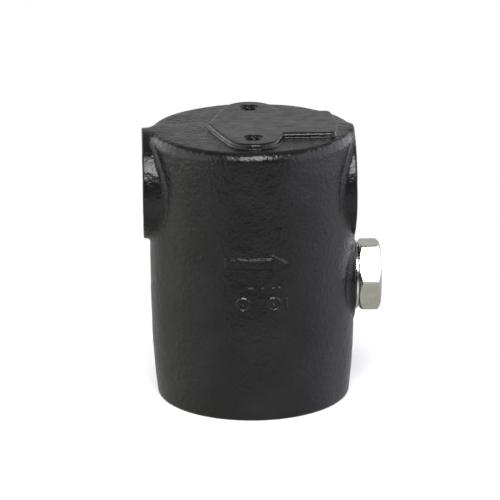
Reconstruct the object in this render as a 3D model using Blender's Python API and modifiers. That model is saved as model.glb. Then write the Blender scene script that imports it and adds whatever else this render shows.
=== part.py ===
"""A ball-float steam trap with a thermostatic air vent.

The origin is on the axis of the round body, in the plane that it stands on. +Z is up, the inlet is at -X,
the outlet at +X, and the flow arrow is on the -Y side. Every size is in metres.
"""

import math

import bmesh
import bpy
from mathutils import Vector

MM = 0.001
GAP = 0.3 * MM  # kept between pieces that touch on the real object
OVERRUN = 2 * MM  # how far a cutter passes the face that it starts from
LAP = 1 * MM  # how far shapes that are joined reach into each other
SMALL_CHAMFER = 1 * MM
SHARP_ANGLE = math.radians(35)  # edges sharper than this aren't shaded smooth

# How many sides round shapes have
BODY_STEPS = 64
CHAMBER_STEPS = 52
BORE_STEPS = 36
OUTLINE_STEPS = 40
ROUND_STEPS = 24
SCREW_STEPS = 16
SHOULDER_STEPS = 5
SKIRT_STEPS = 4
ROOF_ROUND_STEPS = 3

# The casting's outside
BODY_RADIUS = 50.2 * MM
BODY_TOP = 134.4 * MM
TOP_EDGE_RADIUS = 5 * MM
SKIRT_START = 53.1 * MM  # below this height the side draws in
SKIRT_DRAW = 2.83 * MM
FOOT_CHAMFER = 1 * MM

# Ports and the plug's boss
PORT_HEIGHT = 107 * MM
PORT_BOSS_RADIUS = 27 * MM
INLET_FACE = -53.2 * MM
OUTLET_FACE = 49.8 * MM  # the bell is faced off to it as well
FACING_START = 30 * MM  # height where the facing runs out of the skirt
FACING_DEPTH = 3 * MM
PIPE_BORE_RADIUS = 12.4 * MM  # three-quarter-inch pipe thread, at its mean
PIPE_BORE_CHAMFER = 1.4 * MM
PIPE_BORE_END = 36 * MM
INLET_SLEEVE_RADIUS = 17 * MM
VALVE_HEIGHT = 58.6 * MM
PLUG_BOSS_RADIUS = 20.5 * MM

# The raised pad and arm on the top
PAD_HEIGHT = 2.3 * MM
PAD_TOP = BODY_TOP + PAD_HEIGHT
ARM_STEP = 0.15 * MM  # how much lower than the pad the arm is
PAD_HOLE_OFFSET = 29.2 * MM
PAD_LOBE_RADIUS = 12.2 * MM
PAD_HALF_WIDTH = 19.8 * MM
PAD_SIDE_RADIUS = 6 * MM
ARM_HALF_WIDTH = 21.4 * MM
ARM_END = 41.9 * MM
ARM_CORNER_RADIUS = 3 * MM
ARM_END_BULGE = 2.2 * MM
PAD_THREAD_RADIUS = 4.7 * MM
PAD_THREAD_DEPTH = 16 * MM
PAD_THREAD_CHAMFER = 0.7 * MM
ROOF_BOSS_RADIUS = 9.5 * MM
ROOF_BOSS_DROP = 8.5 * MM

# The flow arrow on the front
ARROW_HEIGHT = 80 * MM
ARROW_TAIL = -14.4 * MM
ARROW_NECK = 8 * MM
ARROW_TIP = 15.9 * MM
ARROW_SHAFT_HALF = 2.2 * MM
ARROW_HEAD_HALF = 4.8 * MM
ARROW_RELIEF = 0.9 * MM
ARROW_ROOT = 6 * MM  # how deep in the body it starts
ARROW_RIM_HALF = 10 * MM  # of the ring of body that it is cut to

# The float chamber
CHAMBER_RADIUS = 43.5 * MM
CHAMBER_FLOOR = 22 * MM
CHAMBER_ROOF = 126 * MM
CHAMBER_ROOF_ROUND = 4 * MM
COVER_OPENING_RADIUS = 33 * MM
COVER_SEAT = 13.8 * MM  # underside of the ring that the cover is screwed to
COVER_RECESS_RADIUS = 43.3 * MM

# The riser between the valve and the outlet
RISER_FACE = 25 * MM
RISER_WALL = 6 * MM
RISER_HALF_WIDTH = 17.4 * MM
RISER_VOID_HALF_WIDTH = 13.4 * MM
RISER_VOID_END = 41 * MM
RISER_FLOOR = 41 * MM
RISER_VOID_FLOOR = 45 * MM
RISER_VOID_ROOF = 120 * MM
RISER_VOID_FACE = RISER_FACE + RISER_WALL

# The bottom cover and what is in it
COVER_THICKNESS = 12 * MM
COVER_RADIUS = COVER_RECESS_RADIUS - GAP
COVER_DISH_RADIUS = 30 * MM
COVER_DISH_DEPTH = 4 * MM
COVER_SCREW_COUNT = 6
COVER_SCREW_CIRCLE = 37.2 * MM
COVER_SCREW_RADIUS = 2.5 * MM
COVER_SCREW_HEAD_RADIUS = 4.25 * MM
COVER_SCREW_HEAD = 5 * MM
COVER_SCREW_START = 0.5 * MM  # the head's depth below the cover's underside
COVER_SCREW_END = 19 * MM
SOCKET_RADIUS = 2.3 * MM
SOCKET_DEPTH = 2.5 * MM
DRAIN_PLUG_X = -16 * MM
DRAIN_PLUG_RADIUS = 6.5 * MM
DRAIN_PLUG_LENGTH = 7 * MM
DRAIN_SOCKET_RADIUS = 3.5 * MM
DRAIN_SOCKET_DEPTH = 4.5 * MM

# The access plug
PLUG_WASHER_RADIUS = 16.75 * MM
PLUG_WASHER_THICKNESS = 1.3 * MM
PLUG_HEX_ACROSS_FLATS = 32 * MM
PLUG_HEX_THICKNESS = 10.8 * MM
PLUG_HEX_CHAMFER = 1.9 * MM
PLUG_FACE_INSET = 0.5 * MM  # of the chamfer's round edge inside the flats
PLUG_THREAD_RADIUS = PIPE_BORE_RADIUS - GAP
PLUG_THREAD_LENGTH = 12 * MM
PLUG_BORE_RADIUS = 8 * MM
PLUG_BORE_DEPTH = 9 * MM

# The main valve
SEAT_NOSE = 22 * MM
SEAT_THREAD_RADIUS = 8.5 * MM
SEAT_FLANGE_RADIUS = 11 * MM
SEAT_FLANGE_THICKNESS = 4 * MM
SEAT_GASKET_THICKNESS = 0.8 * MM
ORIFICE_RADIUS = 2.5 * MM
ORIFICE_LENGTH = 4 * MM
SEAT_BORE_RADIUS = 5 * MM
VALVE_RADIUS = 4.5 * MM
VALVE_TIP = 22.8 * MM
VALVE_TIP_RADIUS = 1.2 * MM
VALVE_BACK = 16.3 * MM
VALVE_SHANK_RADIUS = 1.5 * MM

# The lever on its pin
PIVOT_X = 17 * MM
PIVOT_HEIGHT = 75 * MM
PIN_RADIUS = 2 * MM
PIN_HEAD_RADIUS = 3.4 * MM
PIN_HEAD = 1.4 * MM
PIN_TAIL = 2 * MM
HUB_RADIUS = 4.5 * MM
HUB_HALF_WIDTH = 5.2 * MM
WASHER_THICKNESS = 1.1 * MM
CRANK_LOW_X = 13.2 * MM
CRANK_HIGH_X = 16 * MM
CRANK_HALF_WIDTH = 2.6 * MM
CRANK_FOOT = 54.8 * MM
LEVER_SOCKET_RADIUS = 4.2 * MM
LEVER_SOCKET_END = 9.5 * MM
FLOAT_ARM = 37 * MM
FLOAT_ANGLE = math.radians(43)  # how far the arm hangs below the horizontal with the valve shut

# The lever's bracket
BRACKET_THICKNESS = 2 * MM
BRACKET_HALF_WIDTH = 10 * MM
BRACKET_FOOT = 68.5 * MM
BRACKET_TOP = 91.5 * MM
EAR_INNER = 7 * MM
EAR_FRONT = 12.6 * MM
EAR_LOW = 70 * MM
EAR_HIGH = 80 * MM
SMALL_SCREW_RADIUS = 2 * MM
SMALL_SCREW_HEAD_RADIUS = 3.3 * MM
SMALL_SCREW_HEAD = 3 * MM
SMALL_SOCKET_RADIUS = 1.7 * MM
SMALL_SOCKET_DEPTH = 1.8 * MM
BRACKET_SCREW_OFFSET = 5.5 * MM
BRACKET_SCREW_HEIGHT = 86.5 * MM
BRACKET_SCREW_REACH = 4.2 * MM  # into the riser's wall

# The float
FLOAT_RADIUS = 23.4 * MM
FLOAT_WALL = 0.6 * MM
FLOAT_RINGS = 7  # from a half ball's pole to its seam
STUD_RADIUS = 2.4 * MM
STUD_START = 5.4 * MM  # from the pivot, as are the next three
STUD_COLLAR = 12.8 * MM
NUT_START = 9.8 * MM
NUT_END = 12.4 * MM
STUD_COLLAR_RADIUS = 3.4 * MM
NUT_RADIUS = 4 * MM

# The air vent
VENT_HEIGHT = PORT_HEIGHT
VENT_THREAD_RADIUS = 5 * MM
VENT_SEAT_RADIUS = 7.5 * MM
VENT_SEAT_FACE = 21.5 * MM
VENT_ORIFICE_RADIUS = 1.5 * MM
VENT_TRAVEL = 0.8 * MM
VENT_VALVE_RADIUS = 2.6 * MM
VENT_VALVE_HEAD = 1.4 * MM
VENT_STEM_RADIUS = 1.1 * MM
CAPSULE_RADIUS = 10 * MM
CAPSULE_FRONT = 18.4 * MM
CAPSULE_SEAM = 15.3 * MM
CAPSULE_BACK = 12.2 * MM
CAPSULE_WALL = 0.5 * MM
CAPSULE_RIM = 1 * MM
CAGE_INNER_RADIUS = 10.5 * MM
CAGE_WALL = 0.9 * MM
CAGE_BACK = 11 * MM
CAGE_LIP_RADIUS = 8 * MM
CAGE_WINDOW_HALF_WIDTH = 4 * MM

# The inlet baffle
BAFFLE_PLATE_X = -30.5 * MM
BAFFLE_THICKNESS = 1.5 * MM
BAFFLE_HALF_WIDTH = 15 * MM
BAFFLE_FOOT = 93 * MM
BAFFLE_TAB_END = -15 * MM
BAFFLE_SCREW_X = -21.5 * MM
BAFFLE_SCREW_OFFSET = 7.5 * MM
BAFFLE_SCREW_REACH = 5 * MM  # into the roof

ALONG_X = Vector((1, 0, 0))
ALONG_Y = Vector((0, 1, 0))
ALONG_Z = Vector((0, 0, 1))


def clear_scene():
    for existing in list(bpy.data.objects):
        bpy.data.objects.remove(existing, do_unlink=True)


def new_collection(name):
    collection = bpy.data.collections.new(name)
    bpy.context.scene.collection.children.link(collection)
    return collection


def new_material(name, colour, roughness, metallic):
    material = bpy.data.materials.new(name)
    material.use_nodes = True
    shader = material.node_tree.nodes["Principled BSDF"]
    shader.inputs["Base Color"].default_value = (*colour, 1)
    shader.inputs["Roughness"].default_value = roughness
    shader.inputs["Metallic"].default_value = metallic
    return material


clear_scene()
PARTS = new_collection("steam_trap")
CUTTERS = new_collection("cutters")
PAINTED_IRON = new_material("painted_iron", (0.02, 0.02, 0.022), 0.35, 0)
STAINLESS = new_material("stainless", (0.62, 0.61, 0.58), 0.25, 1)
PLATED = new_material("nickel_plated", (0.8, 0.78, 0.72), 0.15, 1)
BLACK_STEEL = new_material("black_steel", (0.03, 0.03, 0.032), 0.45, 0.6)
GRAPHITE = new_material("graphite", (0.07, 0.07, 0.075), 0.7, 0)
COPPER = new_material("copper", (0.72, 0.36, 0.2), 0.35, 1)


def place(shape, location=(0, 0, 0), direction=ALONG_Z):
    """Turns a shape's own Z axis to a direction and moves it."""
    shape.location = location
    shape.rotation_mode = "QUATERNION"
    shape.rotation_quaternion = ALONG_Z.rotation_difference(direction)


def round_shading(mesh):
    mesh.shade_smooth()
    mesh.set_sharp_from_angle(angle=SHARP_ANGLE)


def add_shape(name, mesh, material):
    """A part if it has a material, otherwise a hidden tool for the Booleans."""
    shape = bpy.data.objects.new(name, mesh)
    if material:
        PARTS.objects.link(shape)
        mesh.materials.append(material)
    else:
        CUTTERS.objects.link(shape)
        shape.hide_render = True
        shape.display_type = "WIRE"
    return shape


def mesh_of(shape):
    """A shape's evaluated mesh, welded."""
    bpy.context.view_layer.update()
    evaluated = shape.evaluated_get(bpy.context.evaluated_depsgraph_get())
    mesh = bpy.data.meshes.new_from_object(evaluated)
    work = bmesh.new()
    work.from_mesh(mesh)
    bmesh.ops.remove_doubles(work, verts=work.verts, dist=0.001 * MM)
    work.to_mesh(mesh)
    work.free()
    round_shading(mesh)
    return mesh


def turned(name, profile, material=None, steps=ROUND_STEPS):
    """A body turned about its own Z axis. The profile is (radius, height), down the outer side from the top.
    One that starts and ends on the axis is solid, and any other is a ring."""
    mesh = bpy.data.meshes.new(name)
    count = len(profile)
    edges = [(i, i + 1) for i in range(count - 1)]
    if profile[0][0] > 0:
        edges.append((count - 1, 0))
    mesh.from_pydata([(radius, 0, height) for radius, height in profile], edges, [])
    shape = add_shape(name, mesh, material)
    screw = shape.modifiers.new("turn", "SCREW")
    screw.steps = steps
    screw.render_steps = steps
    screw.use_merge_vertices = True
    screw.merge_threshold = 0.001 * MM
    shape.data = mesh_of(shape)
    shape.modifiers.clear()
    return shape


def rod(name, start, end, radius, material=None, sides=ROUND_STEPS):
    """A cylinder or a regular prism between two points."""
    start = Vector(start)
    along = Vector(end) - start
    work = bmesh.new()
    bmesh.ops.create_cone(
        work,
        cap_ends=True,
        segments=sides,
        radius1=radius,
        radius2=radius,
        depth=along.length,
    )
    bmesh.ops.translate(work, verts=work.verts, vec=(0, 0, along.length / 2))
    mesh = bpy.data.meshes.new(name)
    work.to_mesh(mesh)
    work.free()
    round_shading(mesh)
    shape = add_shape(name, mesh, material)
    place(shape, start, along.normalized())
    return shape


def block(name, low, high, material=None):
    """A box between two corners."""
    low, high = Vector(low), Vector(high)
    work = bmesh.new()
    bmesh.ops.create_cube(work, size=1)
    bmesh.ops.scale(work, verts=work.verts, vec=high - low)
    bmesh.ops.translate(work, verts=work.verts, vec=(low + high) / 2)
    mesh = bpy.data.meshes.new(name)
    work.to_mesh(mesh)
    work.free()
    return add_shape(name, mesh, material)


def extruded(name, outline, thickness):
    """A hidden flat shape with this outline in its own XY plane, from z = 0 up to its thickness."""
    curve = bpy.data.curves.new(name, "CURVE")
    curve.dimensions = "2D"
    curve.fill_mode = "BOTH"
    curve.extrude = thickness / 2
    spline = curve.splines.new("POLY")
    spline.points.add(len(outline) - 1)
    for point, (x, y) in zip(spline.points, outline):
        point.co = (x, y, 0, 1)
    spline.use_cyclic_u = True
    drawn = bpy.data.objects.new(name, curve)
    CUTTERS.objects.link(drawn)
    drawn.location.z = thickness / 2
    mesh = mesh_of(drawn)
    mesh.transform(drawn.matrix_world)
    bpy.data.objects.remove(drawn)
    return add_shape(name, mesh, None)


def boolean(shape, tool, operation):
    modifier = shape.modifiers.new(tool.name, "BOOLEAN")
    modifier.operation = operation
    modifier.solver = "EXACT"
    modifier.object = tool


def join(shape, *tools):
    for tool in tools:
        boolean(shape, tool, "UNION")


def cut(shape, *tools):
    for tool in tools:
        boolean(shape, tool, "DIFFERENCE")


def arc(centre, radius, start, end, steps):
    """Points on an arc, with angles in degrees from the first axis towards the second."""
    angles = [math.radians(start + (end - start) * i / steps) for i in range(steps + 1)]
    return [(centre[0] + radius * math.cos(a), centre[1] + radius * math.sin(a)) for a in angles]


def band_round(circles, steps=OUTLINE_STEPS):
    """The outline of a band pulled tight around circles, each (x, y, radius)."""
    outline = []
    for i in range(steps):
        a = math.tau * i / steps
        x, y, radius = max(circles, key=lambda c: c[0] * math.cos(a) + c[1] * math.sin(a) + c[2])
        outline.append((x + radius * math.cos(a), y + radius * math.sin(a)))
    return outline


def solid_profile(*stations):
    """A solid turned profile through (radius, height) stations, closed on the axis at both ends."""
    return [(0, stations[0][1]), *stations, (0, stations[-1][1])]


def skirt_radius(height):
    return BODY_RADIUS - SKIRT_DRAW * ((SKIRT_START - height) / SKIRT_START) ** 2


def body_blank():
    """The round bell as a solid."""
    edge = BODY_RADIUS - TOP_EDGE_RADIUS
    shoulder = arc((edge, BODY_TOP - TOP_EDGE_RADIUS), TOP_EDGE_RADIUS, 90, 0, SHOULDER_STEPS)
    heights = [SKIRT_START * (1 - i / SKIRT_STEPS) for i in range(SKIRT_STEPS)]
    skirt = [(skirt_radius(h), h) for h in heights]
    foot = [(skirt_radius(FOOT_CHAMFER), FOOT_CHAMFER), (skirt_radius(0) - FOOT_CHAMFER, 0)]
    profile = solid_profile(*shoulder, *skirt, *foot)
    return turned("body", profile, PAINTED_IRON, BODY_STEPS)


def boss(name, x_start, x_end, height, radius, sides=BORE_STEPS):
    return rod(name, (x_start, 0, height), (x_end, 0, height), radius, sides=sides)


def outside_shapes():
    """What stands out of the bell: the port bosses, the plug's boss, the pad with its arm, and the arrow."""
    inlet = boss("inlet_boss", INLET_FACE, -BODY_RADIUS / 2, PORT_HEIGHT, PORT_BOSS_RADIUS)
    outlet = boss("outlet_boss", BODY_RADIUS / 2, OUTLET_FACE + LAP, PORT_HEIGHT, PORT_BOSS_RADIUS)
    plug_boss = boss("plug_boss", BODY_RADIUS / 2, OUTLET_FACE + LAP, VALVE_HEIGHT, PLUG_BOSS_RADIUS)
    side = PAD_HALF_WIDTH - PAD_SIDE_RADIUS
    pad = extruded(
        "pad",
        band_round(
            [
                (0, PAD_HOLE_OFFSET, PAD_LOBE_RADIUS),
                (0, -PAD_HOLE_OFFSET, PAD_LOBE_RADIUS),
                (side, 0, PAD_SIDE_RADIUS),
                (-side, 0, PAD_SIDE_RADIUS),
            ]
        ),
        PAD_HEIGHT + LAP,
    )
    corner_x = ARM_END - ARM_END_BULGE - ARM_CORNER_RADIUS
    corner_y = ARM_HALF_WIDTH - ARM_CORNER_RADIUS
    corners = [(x, y, ARM_CORNER_RADIUS) for x in (0, corner_x) for y in (corner_y, -corner_y)]
    arm = extruded(
        "arm",
        band_round([*corners, (ARM_END - ARM_CORNER_RADIUS, 0, ARM_CORNER_RADIUS)]),
        PAD_HEIGHT + LAP,
    )
    pad.location.z = BODY_TOP - LAP
    arm.location.z = BODY_TOP - LAP - ARM_STEP
    return inlet, outlet, plug_boss, pad, arm, flow_arrow()


def flow_arrow():
    """The arrow stands at one height all over, so it is cut to a slightly larger round than the body."""
    upper = [
        (ARROW_TAIL, ARROW_SHAFT_HALF),
        (ARROW_NECK, ARROW_SHAFT_HALF),
        (ARROW_NECK, ARROW_HEAD_HALF),
    ]
    lower = [(x, -z) for x, z in reversed(upper)]
    arrow = extruded("flow_arrow", [*upper, (ARROW_TIP, 0), *lower], BODY_RADIUS / 2)
    arrow.rotation_euler.x = math.pi / 2
    arrow.location = (0, ARROW_ROOT - BODY_RADIUS, ARROW_HEIGHT)
    rim = BODY_RADIUS + ARROW_RELIEF
    low, high = ARROW_HEIGHT - ARROW_RIM_HALF, ARROW_HEIGHT + ARROW_RIM_HALF
    limits = solid_profile((rim, high), (rim, low))
    boolean(arrow, turned("arrow_rim", limits, steps=BODY_STEPS), "INTERSECT")
    return arrow


def chamber_void():
    """The float chamber, the opening below it and the recess that takes the cover."""
    corner = (CHAMBER_RADIUS - CHAMBER_ROOF_ROUND, CHAMBER_ROOF - CHAMBER_ROOF_ROUND)
    profile = solid_profile(
        *arc(corner, CHAMBER_ROOF_ROUND, 90, 0, ROOF_ROUND_STEPS),
        (CHAMBER_RADIUS, CHAMBER_FLOOR),
        (COVER_OPENING_RADIUS, CHAMBER_FLOOR),
        (COVER_OPENING_RADIUS, COVER_SEAT),
        (COVER_RECESS_RADIUS, COVER_SEAT),
        (COVER_RECESS_RADIUS, -OVERRUN),
    )
    return turned("chamber_void", profile, steps=CHAMBER_STEPS)


def inside_shapes():
    """What stands in the chamber: the riser, the inlet's sleeve and the bosses under the pad's holes."""
    riser = block(
        "riser",
        (RISER_FACE, -RISER_HALF_WIDTH, RISER_FLOOR),
        (CHAMBER_RADIUS + LAP, RISER_HALF_WIDTH, CHAMBER_ROOF + LAP),
    )
    sleeve = boss(
        "inlet_sleeve", -CHAMBER_RADIUS - LAP, -PIPE_BORE_END, PORT_HEIGHT, INLET_SLEEVE_RADIUS
    )
    roof_bosses = [
        rod(
            f"roof_boss_{i}",
            (0, y, CHAMBER_ROOF - ROOF_BOSS_DROP),
            (0, y, CHAMBER_ROOF + LAP),
            ROOF_BOSS_RADIUS,
        )
        for i, y in enumerate((-PAD_HOLE_OFFSET, PAD_HOLE_OFFSET))
    ]
    return riser, sleeve, *roof_bosses


def pipe_bore(name, face, height, direction):
    """A threaded port's bore with its chamfer. The direction is +1 where the port faces +X."""
    profile = solid_profile(
        (PIPE_BORE_RADIUS + PIPE_BORE_CHAMFER, OVERRUN),
        (PIPE_BORE_RADIUS + PIPE_BORE_CHAMFER, 0),
        (PIPE_BORE_RADIUS, -PIPE_BORE_CHAMFER),
        (PIPE_BORE_RADIUS, PIPE_BORE_END - LAP - abs(face)),
    )
    bore = turned(name, profile, steps=BORE_STEPS)
    place(bore, (face, 0, height), ALONG_X * direction)
    return bore


def pad_hole(name, y):
    profile = solid_profile(
        (PAD_THREAD_RADIUS + PAD_THREAD_CHAMFER, OVERRUN),
        (PAD_THREAD_RADIUS + PAD_THREAD_CHAMFER, 0),
        (PAD_THREAD_RADIUS, -PAD_THREAD_CHAMFER),
        (PAD_THREAD_RADIUS, -PAD_THREAD_DEPTH),
    )
    hole = turned(name, profile)
    place(hole, (0, y, PAD_TOP))
    return hole


def cover_screw_places():
    turns = [math.tau * (i + 0.5) / COVER_SCREW_COUNT for i in range(COVER_SCREW_COUNT)]
    return [(COVER_SCREW_CIRCLE * math.cos(t), COVER_SCREW_CIRCLE * math.sin(t)) for t in turns]


def bracket_screw_places():
    return [(y, BRACKET_SCREW_HEIGHT) for y in (-BRACKET_SCREW_OFFSET, BRACKET_SCREW_OFFSET)]


def body_voids():
    """Every bore and hole that is cut once the casting is whole."""
    voids = [
        block(
            "riser_void",
            (RISER_VOID_FACE, -RISER_VOID_HALF_WIDTH, RISER_VOID_FLOOR),
            (RISER_VOID_END, RISER_VOID_HALF_WIDTH, RISER_VOID_ROOF),
        ),
        pipe_bore("inlet_bore", INLET_FACE, PORT_HEIGHT, -1),
        pipe_bore("outlet_bore", OUTLET_FACE, PORT_HEIGHT, 1),
        pipe_bore("plug_bore", OUTLET_FACE, VALVE_HEIGHT, 1),
        pad_hole("pad_hole_front", -PAD_HOLE_OFFSET),
        pad_hole("pad_hole_back", PAD_HOLE_OFFSET),
    ]
    for name, height, radius in (
        ("seat_hole", VALVE_HEIGHT, SEAT_THREAD_RADIUS),
        ("vent_hole", VENT_HEIGHT, VENT_THREAD_RADIUS),
    ):
        start, end = RISER_FACE - OVERRUN, RISER_VOID_FACE + OVERRUN
        voids.append(boss(name, start, end, height, radius + GAP, sides=ROUND_STEPS))
    for i, (y, z) in enumerate(bracket_screw_places()):
        start = (RISER_FACE - OVERRUN, y, z)
        end = (RISER_FACE + BRACKET_SCREW_REACH + GAP, y, z)
        voids.append(rod(f"bracket_hole_{i}", start, end, SMALL_SCREW_RADIUS + GAP, sides=SCREW_STEPS))
    for i, y in enumerate((-BAFFLE_SCREW_OFFSET, BAFFLE_SCREW_OFFSET)):
        start = (BAFFLE_SCREW_X, y, CHAMBER_ROOF - OVERRUN)
        end = (BAFFLE_SCREW_X, y, CHAMBER_ROOF + BAFFLE_SCREW_REACH + GAP)
        voids.append(rod(f"baffle_hole_{i}", start, end, SMALL_SCREW_RADIUS + GAP, sides=SCREW_STEPS))
    for i, (x, y) in enumerate(cover_screw_places()):
        start, end = (x, y, COVER_SEAT - OVERRUN), (x, y, COVER_SCREW_END + GAP)
        voids.append(rod(f"cover_screw_hole_{i}", start, end, COVER_SCREW_RADIUS + GAP, sides=SCREW_STEPS))
    return voids


def facing():
    """What is machined off the outlet side, across both of its bosses."""
    low = (OUTLET_FACE, -BODY_RADIUS, FACING_START)
    return block("facing", low, (OUTLET_FACE + FACING_DEPTH, BODY_RADIUS, PAD_TOP))


def body():
    casting = body_blank()
    join(casting, *outside_shapes())
    cut(casting, facing())
    cut(casting, chamber_void())
    join(casting, *inside_shapes())
    cut(casting, *body_voids())


def socket_screw(name, location, direction, radius, head_radius, head, reach, socket, socket_depth):
    """A cap screw. The location is under its head, and the direction is the way it screws in."""
    profile = solid_profile(
        (radius, reach), (radius, 0), (head_radius, 0), (head_radius, -head)
    )
    screw = turned(name, profile, BLACK_STEEL, SCREW_STEPS)
    key = rod(name + "_key", (0, 0, -head - OVERRUN), (0, 0, socket_depth - head), socket, sides=6)
    place(screw, location, direction)
    key.parent = screw
    cut(screw, key)


def small_screw(name, location, direction, reach):
    socket_screw(
        name,
        location,
        direction,
        SMALL_SCREW_RADIUS,
        SMALL_SCREW_HEAD_RADIUS,
        SMALL_SCREW_HEAD,
        reach,
        SMALL_SOCKET_RADIUS,
        SMALL_SOCKET_DEPTH,
    )


def bottom_cover():
    dish = COVER_THICKNESS - COVER_DISH_DEPTH
    slope = COVER_DISH_DEPTH / 2
    profile = [
        (0, dish),
        (COVER_DISH_RADIUS - slope, dish),
        (COVER_DISH_RADIUS, COVER_THICKNESS),
        (COVER_RADIUS, COVER_THICKNESS),
        (COVER_RADIUS, FOOT_CHAMFER),
        (COVER_RADIUS - FOOT_CHAMFER, 0),
        (0, 0),
    ]
    cover = turned("bottom_cover", profile, PAINTED_IRON, CHAMBER_STEPS)
    head_radius = COVER_SCREW_HEAD_RADIUS + GAP
    shelf = COVER_SCREW_START + COVER_SCREW_HEAD + GAP
    hole_radius = COVER_SCREW_RADIUS + GAP
    for i, (x, y) in enumerate(cover_screw_places()):
        stations = solid_profile(
            (hole_radius, COVER_THICKNESS + OVERRUN),
            (hole_radius, shelf),
            (head_radius, shelf),
            (head_radius, -OVERRUN),
        )
        hole = turned(f"cover_hole_{i}", stations, steps=SCREW_STEPS)
        place(hole, (x, y, 0))
        cut(cover, hole)
    start, end = (DRAIN_PLUG_X, 0, -OVERRUN), (DRAIN_PLUG_X, 0, COVER_THICKNESS)
    cut(cover, rod("drain_hole", start, end, DRAIN_PLUG_RADIUS + GAP))


def cover_gasket():
    low, high = COVER_THICKNESS + GAP, COVER_SEAT - GAP
    outer, inner = COVER_RADIUS - GAP, COVER_OPENING_RADIUS + GAP
    profile = [(outer, high), (outer, low), (inner, low), (inner, high)]
    gasket = turned("cover_gasket", profile, GRAPHITE, BORE_STEPS)
    for i, (x, y) in enumerate(cover_screw_places()):
        start, end = (x, y, low - OVERRUN), (x, y, high + OVERRUN)
        cut(gasket, rod(f"gasket_hole_{i}", start, end, COVER_SCREW_RADIUS + 2 * GAP, sides=SCREW_STEPS))


def cover_screws():
    seat = COVER_SCREW_START + COVER_SCREW_HEAD
    for i, (x, y) in enumerate(cover_screw_places()):
        socket_screw(
            f"cover_screw_{i + 1}",
            (x, y, seat),
            ALONG_Z,
            COVER_SCREW_RADIUS,
            COVER_SCREW_HEAD_RADIUS,
            COVER_SCREW_HEAD,
            COVER_SCREW_END - seat,
            SOCKET_RADIUS,
            SOCKET_DEPTH,
        )


def drain_plug():
    low, high = COVER_SCREW_START, COVER_SCREW_START + DRAIN_PLUG_LENGTH
    plug = turned(
        "drain_plug",
        solid_profile((DRAIN_PLUG_RADIUS, high), (DRAIN_PLUG_RADIUS, low)),
        BLACK_STEEL,
    )
    place(plug, (DRAIN_PLUG_X, 0, 0))
    start, end = (0, 0, low - OVERRUN), (0, 0, low + DRAIN_SOCKET_DEPTH)
    key = rod("drain_key", start, end, DRAIN_SOCKET_RADIUS, sides=6)
    key.parent = plug
    cut(plug, key)


def access_plug():
    """A hexagon with both faces chamfered round, a neck behind it and a hollow threaded spigot."""
    washer_start = OUTLET_FACE + GAP
    hex_start = washer_start + PLUG_WASHER_THICKNESS + GAP
    hex_end = hex_start + PLUG_HEX_THICKNESS
    corner = PLUG_HEX_ACROSS_FLATS / 2 / math.cos(math.pi / 6)
    flat = PLUG_HEX_ACROSS_FLATS / 2 - PLUG_FACE_INSET
    spigot_end = OUTLET_FACE - PLUG_THREAD_LENGTH
    chamfered = solid_profile(
        (flat, hex_end),
        (corner + LAP, hex_end - PLUG_HEX_CHAMFER),
        (corner + LAP, hex_start + PLUG_HEX_CHAMFER),
        (flat, hex_start),
    )
    plug = turned("access_plug", chamfered, PLATED, BORE_STEPS)
    place(plug, (0, 0, VALVE_HEIGHT), ALONG_X)
    hexagon = rod("plug_hexagon", (0, 0, hex_start - LAP), (0, 0, hex_end + LAP), corner, sides=6)
    spigot_profile = solid_profile(
        (PLUG_THREAD_RADIUS, hex_start + LAP),
        (PLUG_THREAD_RADIUS, spigot_end + SMALL_CHAMFER),
        (PLUG_THREAD_RADIUS - SMALL_CHAMFER, spigot_end),
    )
    spigot = turned("plug_spigot", spigot_profile, steps=BORE_STEPS)
    bore_end = spigot_end + PLUG_BORE_DEPTH
    bore = rod("plug_hollow", (0, 0, spigot_end - OVERRUN), (0, 0, bore_end), PLUG_BORE_RADIUS)
    for tool in (hexagon, spigot, bore):
        tool.parent = plug
    boolean(plug, hexagon, "INTERSECT")
    join(plug, spigot)
    cut(plug, bore)
    inner = PIPE_BORE_RADIUS + PIPE_BORE_CHAMFER
    profile = [
        (PLUG_WASHER_RADIUS, washer_start + PLUG_WASHER_THICKNESS),
        (PLUG_WASHER_RADIUS, washer_start),
        (inner, washer_start),
        (inner, washer_start + PLUG_WASHER_THICKNESS),
    ]
    washer = turned("access_plug_washer", profile, PLATED, BORE_STEPS)
    place(washer, (0, 0, VALVE_HEIGHT), ALONG_X)


def valve_seat():
    gasket_start = RISER_VOID_FACE + GAP
    flange_start = gasket_start + SEAT_GASKET_THICKNESS + GAP
    flange_end = flange_start + SEAT_FLANGE_THICKNESS
    profile = [
        (SEAT_BORE_RADIUS, flange_end),
        (SEAT_FLANGE_RADIUS, flange_end),
        (SEAT_FLANGE_RADIUS, flange_start),
        (SEAT_THREAD_RADIUS, flange_start),
        (SEAT_THREAD_RADIUS, SEAT_NOSE + SMALL_CHAMFER),
        (SEAT_THREAD_RADIUS - SMALL_CHAMFER, SEAT_NOSE),
        (ORIFICE_RADIUS, SEAT_NOSE),
        (ORIFICE_RADIUS, SEAT_NOSE + ORIFICE_LENGTH),
        (SEAT_BORE_RADIUS, SEAT_NOSE + ORIFICE_LENGTH + SMALL_CHAMFER),
    ]
    seat = turned("valve_seat", profile, STAINLESS)
    place(seat, (0, 0, VALVE_HEIGHT), ALONG_X)
    ring = [
        (SEAT_FLANGE_RADIUS, gasket_start + SEAT_GASKET_THICKNESS),
        (SEAT_FLANGE_RADIUS, gasket_start),
        (SEAT_THREAD_RADIUS + GAP, gasket_start),
        (SEAT_THREAD_RADIUS + GAP, gasket_start + SEAT_GASKET_THICKNESS),
    ]
    gasket = turned("valve_seat_gasket", ring, COPPER)
    place(gasket, (0, 0, VALVE_HEIGHT), ALONG_X)


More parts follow.
